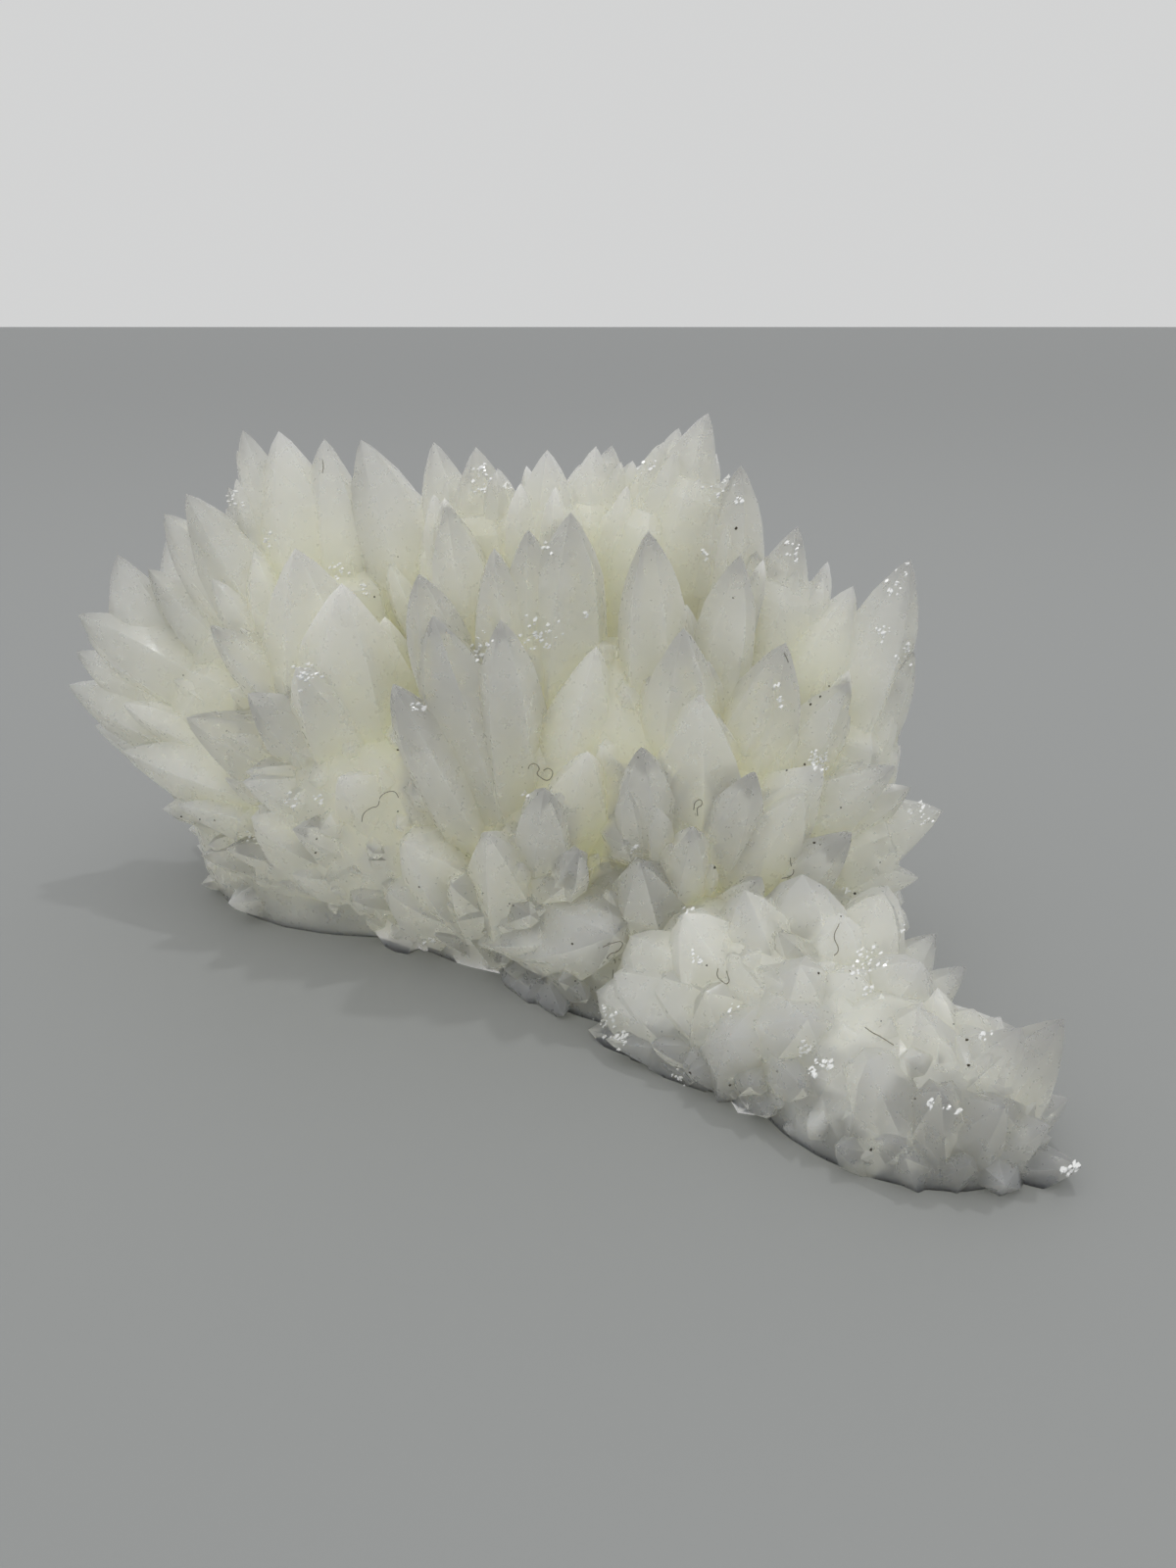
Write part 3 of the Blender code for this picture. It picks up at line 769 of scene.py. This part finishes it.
# %% Turn the leaves into objects
grove = bpy.data.collections.new("grove")
bpy.context.scene.collection.children.link(grove)
crystal_skin, *others = [
    shaped("leaf", [placed(point) for point in points], faces) for points, faces in leaves]
crystal_skin.name = "crystal_skin"
show(crystal_skin)
for other in others:
    grove.objects.link(other)
print(len(others), "leaves to join to the first")

# %% Join them
union = crystal_skin.modifiers.new("grown together", "BOOLEAN")
union.operation = "UNION"
union.solver = "MANIFOLD"
union.operand_type = "COLLECTION"
union.collection = grove
bpy.context.view_layer.update()
joined = crystal_skin.evaluated_get(bpy.context.evaluated_depsgraph_get())
joined_mesh = bpy.data.meshes.new_from_object(joined)
crystal_skin.modifiers.clear()
crystal_skin.data = joined_mesh
for other in others:
    bpy.data.objects.remove(other)
bpy.data.collections.remove(grove)
print(len(crystal_skin.data.polygons), "faces after the union")

# %% [markdown]
# ## A level foot and crisp edges
# A specimen is cut or ground level so that it stands. One plane cuts the skin there and the hole
# is filled. No point may leave the box of the CAD body, so any that does is moved back to it.
# Edges sharper than a set angle stay crisp, and the rest are shaded smooth.

# %% Cut the skin level and keep it in its box
SHARP_ANGLE = math.radians(22)

skin = bmesh.new()
skin.from_mesh(crystal_skin.data)
for vertex in skin.verts:
    for axis in range(3):
        vertex.co[axis] = min(vertex.co[axis], cad_box[1][axis])
        if axis < 2:
            vertex.co[axis] = max(vertex.co[axis], cad_box[0][axis])
everything = skin.verts[:] + skin.edges[:] + skin.faces[:]
bmesh.ops.bisect_plane(skin, geom=everything, plane_co=(0, 0, 0), plane_no=(0, 0, -1), clear_outer=True)
rim = [edge for edge in skin.edges if edge.is_boundary]
bmesh.ops.holes_fill(skin, edges=rim, sides=0)
bmesh.ops.triangulate(skin, faces=skin.faces)
skin.normal_update()
for face in skin.faces:
    face.smooth = True
for edge in skin.edges:
    edge.smooth = edge.calc_face_angle(math.pi) < SHARP_ANGLE
skin.to_mesh(crystal_skin.data)
skin.free()
print(len(crystal_skin.data.polygons), "faces in the finished skin")

# %% [markdown]
# ## Measuring the skin for its finish
# How milky a crystal is depends on where you look: its tip is clear and its foot is milky. Each
# point of the skin therefore notes how near it is to the tip of its own crystal, how clear that
# crystal is, and a tone that sets it off from its neighbours. It also notes how near it is to
# the heart of the dome, where the colour is painted brighter and creamier: partly the crystals'
# own cream, partly a painted glow for light scattered deep in the mass. Painting these by hand
# would be lost at each new union, so they are measured from the list of crystals.

# %% Find each point's own crystal
TONE_SEED = 500
TIP_WIDTHS = 2.2
TIP_ROOM = 0.25
PAST_TIP = 3
PAST_FOOT = 2
FAR_AWAY = 9.0

point_count = len(crystal_skin.data.vertices)
places = np.empty(point_count * 3)
crystal_skin.data.vertices.foreach_get("co", places)
places = (places.reshape(-1, 3) - np.array(grid_shift)) / MM
nearest = np.full(point_count, FAR_AWAY)
tipness = np.zeros(point_count)
clearness = np.zeros(point_count)
tone = np.zeros(point_count)
for number, growth in enumerate(main_crystals):
    way = np.array(way_of(growth))
    from_tip = places - np.array(growth.tip)
    below = -(from_tip @ way) / growth.width
    sideways = np.linalg.norm(from_tip + np.outer(below * growth.width, way), axis=1)
    room = growth.width / 2 * (TIP_ROOM + (1 - TIP_ROOM) * outline_share(below))
    closeness = sideways / room
    closeness += np.maximum(0, -below) * PAST_TIP
    closeness += np.maximum(0, below - growth.length / growth.width) * PAST_FOOT
    closer = closeness < nearest
    nearest[closer] = closeness[closer]
    tipness[closer] = np.clip(1 - below[closer] / TIP_WIDTHS, 0, 1)
    clearness[closer] = growth.clear
    tone[closer] = random.Random(TONE_SEED + number).random()
print("mean closeness", round(float(nearest.mean()), 2))

# %% Write the measures on the skin
BELONGING_REACH = 2.2
CRUST_TIPNESS = 0.3
CRUST_CLEARNESS = 0.25
HEART_PLACE = (0, 2, 34)
HEART_REACH = 42
HEART_EDGE = 1.3

belonging = np.clip(BELONGING_REACH - nearest, 0, 1)
tipness = CRUST_TIPNESS + (tipness - CRUST_TIPNESS) * belonging
clearness = CRUST_CLEARNESS + (clearness - CRUST_CLEARNESS) * belonging
from_heart = np.linalg.norm((places - np.array(HEART_PLACE)) / HEART_REACH, axis=1)
heart = np.clip(HEART_EDGE - from_heart, 0, 1)
for name, values in (("tipness", tipness), ("clearness", clearness), ("tone", tone), ("heart", heart)):
    attribute = crystal_skin.data.attributes.new(name, "FLOAT", "POINT")
    attribute.data.foreach_set("value", values)
print("mean tipness", round(float(tipness.mean()), 2))

# %% [markdown]
# ## The finish of the crystals
# Milky crystal lets light in, scatters it and lets it out again somewhere else. A true volume
# would do that too, but it is slow and grainy. Subsurface scattering gives the same soft glow.
# The tips hold less milk, so part of the light passes straight through them. Where that light
# meets the skin again from the inside, it always goes on, or it would end there as a dark dot.

# %% Make the node helpers
def measured(tree, name):
    """A value that was noted on the skin."""
    node = tree.nodes.new("ShaderNodeAttribute")
    node.attribute_name = name
    return node.outputs["Fac"]


def ramped(tree, value, low, high, start, end):
    """A value rescaled from low..high to start..end."""
    node = tree.nodes.new("ShaderNodeMapRange")
    tree.links.new(value, node.inputs["Value"])
    set_sockets(node, {"From Min": low, "From Max": high, "To Min": start, "To Max": end})
    return node.outputs["Result"]


def combined(tree, operation, first, second):
    """Two values joined by arithmetic."""
    node = tree.nodes.new("ShaderNodeMath")
    node.operation = operation
    for socket, value in zip(node.inputs, (first, second)):
        if isinstance(value, (int, float)):
            socket.default_value = value
        else:
            tree.links.new(value, socket)
    return node.outputs["Value"]


def blended(tree, share, first, second):
    """Two colours mixed by a share."""
    node = tree.nodes.new("ShaderNodeMix")
    node.data_type = "RGBA"
    tree.links.new(share, node.inputs["Factor"])
    colours = [socket for socket in node.inputs if socket.type == "RGBA"]
    for socket, colour in zip(colours, (first, second)):
        if isinstance(colour, tuple):
            socket.default_value = (*colour, 1)
        else:
            tree.links.new(colour, socket)
    return next(socket for socket in node.outputs if socket.type == "RGBA")


def cloudy(tree, scale, detail):
    """Cloudy noise with some waves per metre."""
    node = tree.nodes.new("ShaderNodeTexNoise")
    set_sockets(node, {"Scale": scale, "Detail": detail})
    coordinates = tree.nodes.new("ShaderNodeTexCoord")
    tree.links.new(coordinates.outputs["Object"], node.inputs["Vector"])
    return node.outputs["Fac"]


def two_toned(name, waves, detail, dark, pale):
    """A finish that is cloudy between two colours."""
    finish, tree, surface = finish_named(name)
    tree.links.new(blended(tree, cloudy(tree, waves, detail), dark, pale), surface.inputs["Base Color"])
    return finish, tree, surface


print("the node helpers are ready")

# %% Mix milk, cream with a painted glow, and grey with painted see-through shade
# The cream is partly the crystals' own tint and partly a painted glow: it brightens the feet and the heart
# of the dome in place of light scattered deep inside.
CREAM_AND_PAINTED_GLOW = (0.97, 0.96, 0.72)
MILK = (0.90, 0.90, 0.805)
WARM_MILK = (0.91, 0.90, 0.765)
# This grey is painted see-through shade: it darkens the clear tips in place of the darker surroundings seen
# through them, on top of their real transmission.
PAINTED_SEE_THROUGH_GREY = (0.68, 0.68, 0.66)
VEIL_WAVES = 140
FROST_WAVES = 800
CLOUD_DETAIL = 3

# The ramps: the lowest and highest measure, and what they turn into.
BURIED_BY_TIP = (0.05, 0.75, 1, 0.1)
BURIED_BY_CLEARNESS = (0.1, 0.35, 1.0, 0.7)
CREAM_AND_GLOW_BY_HEART = (0.1, 0.8, 0.5, 1.0)
GREY_BY_CLEARNESS = (0.25, 0.95, 0.0, 1.0)
GREY_BY_TIP = (0.0, 0.9, 0.5, 1.0)
GREY_BY_VEIL = (0.3, 0.7, 0.7, 1.1)

crystal_finish, tree, surface = finish_named("milky crystal")
tip_share = measured(tree, "tipness")
clear_share = measured(tree, "clearness")
veil = cloudy(tree, VEIL_WAVES, CLOUD_DETAIL)
frost = cloudy(tree, FROST_WAVES, CLOUD_DETAIL)
buried_share = combined(tree, "MULTIPLY", ramped(tree, tip_share, *BURIED_BY_TIP),
                        ramped(tree, clear_share, *BURIED_BY_CLEARNESS))
# Painted glow: towards the crystals' feet and the heart of the dome the milk turns brighter and creamier.
cream_and_glow_share = combined(tree, "MULTIPLY", buried_share,
                       ramped(tree, measured(tree, "heart"), *CREAM_AND_GLOW_BY_HEART))
own_milk = blended(tree, measured(tree, "tone"), MILK, WARM_MILK)
milk_and_glow_colour = blended(tree, cream_and_glow_share, own_milk, CREAM_AND_PAINTED_GLOW)
# Painted see-through shade: the clear tips and clear crystals are greyed in their colour, standing in for
# what shows through them.
grey_share = combined(tree, "MULTIPLY", ramped(tree, clear_share, *GREY_BY_CLEARNESS),
                      ramped(tree, tip_share, *GREY_BY_TIP))
grey_share = combined(tree, "MULTIPLY", grey_share, ramped(tree, veil, *GREY_BY_VEIL))
tree.links.new(blended(tree, grey_share, milk_and_glow_colour, PAINTED_SEE_THROUGH_GREY), surface.inputs["Base Color"])
print(len(tree.nodes), "nodes mix the colour")

# %% Let the light in
CRYSTAL_IOR = 1.53
SCATTER_SHARES = (1.0, 0.95, 0.85)
SCATTER_DEPTH = 0.020
LEAST_CLEARING = 0.12
GREY_CLEARING = 0.45
CLEARING_BY_TIP = (0.45, 1.0, 0.0, 0.6)
CLEARING_BY_CLEARNESS = (0.1, 0.35, 0.3, 1.0)

set_sockets(surface, {
    "IOR": CRYSTAL_IOR, "Subsurface Weight": 1.0, "Subsurface Radius": SCATTER_SHARES,
    "Subsurface Scale": SCATTER_DEPTH})
tip_clearing = combined(tree, "MULTIPLY", ramped(tree, tip_share, *CLEARING_BY_TIP),
                        ramped(tree, clear_share, *CLEARING_BY_CLEARNESS))
grey_clearing = combined(tree, "MULTIPLY", grey_share, GREY_CLEARING)
see_through = combined(tree, "MAXIMUM", grey_clearing, tip_clearing)
see_through = combined(tree, "MAXIMUM", see_through, LEAST_CLEARING)
inner_side = tree.nodes.new("ShaderNodeNewGeometry").outputs["Backfacing"]
tree.links.new(combined(tree, "MAXIMUM", see_through, inner_side), surface.inputs["Transmission Weight"])
print("light scatters over", round(SCATTER_DEPTH / MM), "mm")

# %% [markdown]
# ## Frost on the faces
# The faces aren't polished. Fine etching makes some patches glossier than others and breaks up
# the reflections. It is far finer than any mesh, so noise drives the roughness and a faint bump.

# %% Frost the faces and dress the skin
ROUGHNESS_BY_FROST = (0.3, 0.7, 0.22, 0.42)
FROST_STRENGTH = 0.12
FROST_DEPTH = 0.2 * MM

tree.links.new(ramped(tree, frost, *ROUGHNESS_BY_FROST), surface.inputs["Roughness"])
bump = tree.nodes.new("ShaderNodeBump")
set_sockets(bump, {"Strength": FROST_STRENGTH, "Distance": FROST_DEPTH})
tree.links.new(frost, bump.inputs["Height"])
tree.links.new(bump.outputs["Normal"], surface.inputs["Normal"])

crystal_skin.data.materials.clear()
crystal_skin.data.materials.append(crystal_finish)
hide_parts("crystal_cluster")
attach(crystal_skin, "root")
print("the skin stands for the CAD body")

# %% [markdown]
# ## Finding places on the crystals
# Sparkles, fibres and dust are placed where the picture shows them. Places typed in by hand
# would float or sink when a crystal changes. A ray from the camera through a pixel finds the
# point of the skin that it meets, so each one sits on a crystal from every side.

# %% Look through a pixel
skin_tree = BVHTree.FromPolygons(
    [vertex.co for vertex in crystal_skin.data.vertices],
    [face.vertices for face in crystal_skin.data.polygons])
camera_turn = camera.rotation_euler.to_matrix()


def seen_at(column, row):
    """The point and facing of the skin behind a pixel, or None twice."""
    across = (column - PICTURE_WIDTH / 2) / FOCAL_PIXELS
    down = (row - PICTURE_HEIGHT / 2) / FOCAL_PIXELS
    way = camera_turn @ Vector((across, -down, -1)).normalized()
    place, facing, index, distance = skin_tree.ray_cast(camera.location, way)
    return place, facing


middle_place = seen_at(PICTURE_WIDTH / 2, PICTURE_HEIGHT / 2)[0]
print("the middle of the picture is", [round(value / MM) for value in middle_place], "mm")

# %% [markdown]
# ## Sparkles
# Here and there a crystal is cracked or bruised, and its tiny broken faces throw the lamp's
# light back. Noise in the roughness could only brighten a patch. These are thin splinters that
# lie in the skin, tilted about half way between the eye and the lamp, with some scatter. Each
# row is a bruise: its column and row in the picture, its reach in millimetres and its splinters.

# %% List the bruises
SPARKLES = (
    (236, 506, 1.6, 26), (310, 688, 1.6, 24), (347, 581, 1.2, 12), (491, 664, 1.6, 24),
    (550, 650, 1.9, 34), (492, 482, 1.2, 14), (494, 500, 0.9, 8), (519, 496, 0.9, 8),
    (557, 560, 0.9, 8), (743, 490, 0.9, 8), (728, 504, 0.9, 8), (753, 513, 0.9, 8),
    (662, 477, 0.9, 10), (719, 564, 0.8, 8), (808, 566, 1.4, 14), (909, 590, 2.0, 30),
    (900, 644, 1.2, 12), (920, 664, 1.2, 12), (792, 700, 0.6, 5), (794, 716, 0.8, 10),
    (837, 775, 1.6, 34), (942, 826, 1.6, 26), (925, 803, 1.0, 12), (883, 981, 1.8, 26),
    (886, 1010, 0.9, 10), (650, 866, 0.9, 12), (536, 810, 0.5, 6), (425, 722, 0.9, 10),
    (439, 960, 0.6, 6), (618, 1040, 1.4, 20), (632, 1058, 1.6, 20), (695, 1098, 0.8, 10),
    (822, 1072, 1.2, 16), (843, 1084, 1.0, 14), (830, 1095, 0.8, 8), (1007, 1057, 0.6, 6),
    (1097, 1196, 1.6, 30), (925, 951, 0.9, 10), (950, 1127, 0.5, 5), (966, 1130, 0.4, 4),
    (977, 1133, 0.4, 4), (702, 930, 0.6, 6), (296, 817, 1.0, 10), (325, 815, 0.8, 8),
    (255, 855, 0.6, 6), (711, 977, 0.8, 8), (746, 1028, 0.7, 7), (370, 603, 0.9, 8),
    (276, 553, 1.0, 8), (864, 910, 0.5, 6), (600, 628, 0.4, 4),
)
print(len(SPARKLES), "bruises")

# %% Draw a splinter
CORNERS = 5
CORNER_REACHES = (0.35, 1.15)
NARROWING = 0.55
THICKNESS = 0.12

splinter_points = []
splinter_faces = []


def draw_splinter(place, facing, size, chance):
    """A thin irregular plate with five corners."""
    across, beside = ring_round(facing)
    upper = len(splinter_points)
    lower = upper + CORNERS
    thickness = facing * size * THICKNESS
    for lift in (1, -1):
        for corner in range(CORNERS):
            angle = math.tau * corner / CORNERS
            radius = size / 2 * chance.uniform(*CORNER_REACHES)
            out = across * math.cos(angle) * radius + beside * math.sin(angle) * radius * NARROWING
            splinter_points.append(place + out + thickness * lift)
    splinter_faces.append(tuple(upper + corner for corner in range(CORNERS)))
    splinter_faces.append(tuple(lower + corner for corner in reversed(range(CORNERS))))
    for corner in range(CORNERS):
        after = (corner + 1) % CORNERS
        splinter_faces.append((lower + corner, lower + after, upper + after, upper + corner))


print("a splinter has", CORNERS, "corners")

# %% Scatter the splinters
SPARKLE_SEED = 7000
PIXELS_PER_MM = 7.3
SCATTER = 0.6
TILT_SCATTER = 0.16
SPLINTER_SIZES = (0.3, 1.0)
SPLINTER_LIFT = 0.1

missed = 0
for number, (middle_column, middle_row, reach, count) in enumerate(SPARKLES):
    chance = random.Random(SPARKLE_SEED + number)
    spread = reach * PIXELS_PER_MM
    for splinter in range(count):
        column = middle_column + chance.gauss(0, SCATTER) * spread
        row = middle_row + chance.gauss(0, SCATTER) * spread
        place, facing = seen_at(column, row)
        if place is None:
            missed += 1
            continue
        to_lamp = (glint_lamp.location - place).normalized()
        to_eye = (camera.location - place).normalized()
        tilt = Vector([chance.gauss(0, TILT_SCATTER) for axis in range(3)])
        halfway = ((to_lamp + to_eye).normalized() + tilt).normalized()
        size = chance.uniform(*SPLINTER_SIZES) * MM
        draw_splinter(place + facing * size * SPLINTER_LIFT, halfway, size, chance)
broken_faces = show(shaped("broken_faces", splinter_points, splinter_faces))
print(len(splinter_faces) // (CORNERS + 2), "splinters,", missed, "missed the crystals")

# %% [markdown]
# ## The finish of a broken face
# A fresh break is clean and glossy, a little whiter in some places than in others. A finish that
# gives off light would shine in every view. A glossy one glints only where it faces the lamp.

# %% Polish the splinters
PALE_BREAK = (0.90, 0.92, 0.92)
WHITE_BREAK = (1.0, 1.0, 1.0)
BREAK_WAVES = 2500
GLOSS_WAVES = 3000
BREAK_DETAIL = 2
BREAK_IOR = 1.68
GLOSS_RAMP = (0.3, 0.7, 0.08, 0.22)

splinter_finish, tree, surface = two_toned(
    "fresh broken crystal", BREAK_WAVES, BREAK_DETAIL, PALE_BREAK, WHITE_BREAK)
tree.links.new(ramped(tree, cloudy(tree, GLOSS_WAVES, BREAK_DETAIL), *GLOSS_RAMP),
               surface.inputs["Roughness"])
set_sockets(surface, {"IOR": BREAK_IOR})
broken_faces.data.materials.append(splinter_finish)
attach(broken_faces, "root")
print("the splinters have", len(splinter_finish.node_tree.nodes), "nodes")

# %% [markdown]
# ## Lint
# Curly lint fibres have settled on the crystals. A fibre could be a thin mesh tube, but a
# bevelled curve through a few points of the skin bends more smoothly from fewer numbers. Each
# row gives the pixels that one fibre runs through.

# %% List the fibres
FIBRES = (
    ((539, 784), (541, 780), (547, 780), (550, 784), (548, 789), (552, 793), (559, 796), (563, 793),
     (564, 787), (560, 784), (555, 786)),
    ((369, 838), (371, 830), (379, 824), (385, 822), (388, 813), (395, 808), (403, 808), (407, 814)),
    ((708, 826), (710, 818), (715, 816), (716, 821), (712, 824), (712, 832)),
    ((806, 875), (807, 883), (810, 889), (806, 894), (798, 896)),
    ((615, 966), (624, 962), (634, 961), (631, 969), (621, 974), (628, 981), (626, 991), (629, 1001)),
    ((883, 1049), (890, 1054), (899, 1058), (912, 1067)),
    ((733, 988), (732, 995), (737, 1002), (742, 1004), (741, 991)),
    ((800, 666), (802, 671), (804, 676)),
    ((856, 943), (851, 956), (855, 970), (851, 975)),
    ((867, 991), (874, 999)),
    ((329, 469), (330, 476), (329, 483)),
)
print(len(FIBRES), "fibres to lay")

# %% Lay the fibres
FIBRE_RADIUS = 0.055 * MM
FIBRE_LIFT = 0.10 * MM
FIBRE_ROUNDNESS = 1
FIBRE_STEPS = 6
LEAST_STOPS = 2

fibre_curve = bpy.data.curves.new("lint_fibres", "CURVE")
fibre_curve.dimensions = "3D"
fibre_curve.bevel_depth = FIBRE_RADIUS
fibre_curve.bevel_resolution = FIBRE_ROUNDNESS
fibre_curve.resolution_u = FIBRE_STEPS
for pixels in FIBRES:
    stops = [seen_at(column, row) for column, row in pixels]
    stops = [place + facing * FIBRE_LIFT for place, facing in stops if place is not None]
    if len(stops) < LEAST_STOPS:
        continue
    spline = fibre_curve.splines.new("BEZIER")
    spline.bezier_points.add(len(stops) - 1)
    for knot, stop in zip(spline.bezier_points, stops):
        knot.co = stop
        knot.handle_left_type = "AUTO"
        knot.handle_right_type = "AUTO"
lint_fibres = show(bpy.data.objects.new("lint_fibres", fibre_curve))
print(len(fibre_curve.splines), "fibres")

# %% Dye the fibres
DARK_LINT = (0.16, 0.15, 0.12)
PALE_LINT = (0.32, 0.29, 0.22)
LINT_WAVES = 300
LINT_DETAIL = 1
LINT_ROUGHNESS = 0.9

lint_finish, tree, surface = two_toned("grey lint", LINT_WAVES, LINT_DETAIL, DARK_LINT, PALE_LINT)
set_sockets(surface, {"Roughness": LINT_ROUGHNESS})
fibre_curve.materials.append(lint_finish)
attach(lint_fibres, "root")
print("the fibres are", round(2 * FIBRE_RADIUS / MM, 2), "mm thick")

# %% [markdown]
# ## Dust
# Dark specks of dust lie on the crystals too. Spots in the finish would blur once it is baked to
# a picture, so each speck is a tiny grain of its own: a small ball with every corner pushed in
# or out a little. Each row gives the pixels where some specks lie.

# %% List the specks
DUST = (
    (187, 689), (168, 749), (231, 746), (204, 836), (185, 833), (219, 837), (406, 765), (406, 828),
    (323, 856), (476, 873), (406, 568), (382, 609), (744, 487), (751, 539), (748, 610), (803, 786),
    (858, 824), (821, 780), (846, 700), (837, 711), (827, 719), (651, 773), (533, 783), (831, 860),
    (837, 862), (898, 880), (729, 885), (493, 911), (520, 922), (524, 924), (858, 935), (872, 912),
    (704, 1095), (745, 1107), (793, 1093), (899, 1042), (987, 1061), (988, 1087), (973, 1045),
    (889, 1173), (587, 1001), (584, 963), (934, 1121), (721, 985), (835, 993), (322, 870), (428, 905),
)
print(len(DUST), "specks to settle")

# %% Settle the dust
DUST_SEED = 9000
GRAIN_FINENESS = 1
GRAIN_RADII = (0.09, 0.19)
GRAIN_SHARES = (0.6, 1.3)

dust_grains = bmesh.new()
for number, (column, row) in enumerate(DUST):
    chance = random.Random(DUST_SEED + number)
    place, facing = seen_at(column, row)
    if place is None:
        continue
    radius = chance.uniform(*GRAIN_RADII) * MM
    grain = bmesh.ops.create_icosphere(dust_grains, subdivisions=GRAIN_FINENESS, radius=radius,
                                       matrix=Matrix.Translation(place))
    for vertex in grain["verts"]:
        vertex.co = place + (vertex.co - place) * chance.uniform(*GRAIN_SHARES)
dust_mesh = bpy.data.meshes.new("dust_specks")
dust_grains.to_mesh(dust_mesh)
dust_grains.free()
dust_specks = show(bpy.data.objects.new("dust_specks", dust_mesh))
print(len(dust_mesh.polygons), "faces of dust")

# %% Colour the dust
DARK_DUST = (0.03, 0.028, 0.02)
BROWN_DUST = (0.10, 0.08, 0.05)
DUST_WAVES = 2000
DUST_DETAIL = 1
DUST_ROUGHNESS = 0.95

dust_finish, tree, surface = two_toned("dark dust", DUST_WAVES, DUST_DETAIL, DARK_DUST, BROWN_DUST)
set_sockets(surface, {"Roughness": DUST_ROUGHNESS})
dust_mesh.materials.append(dust_finish)
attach(dust_specks, "root")
print("the dust has", len(dust_finish.node_tree.nodes), "nodes")
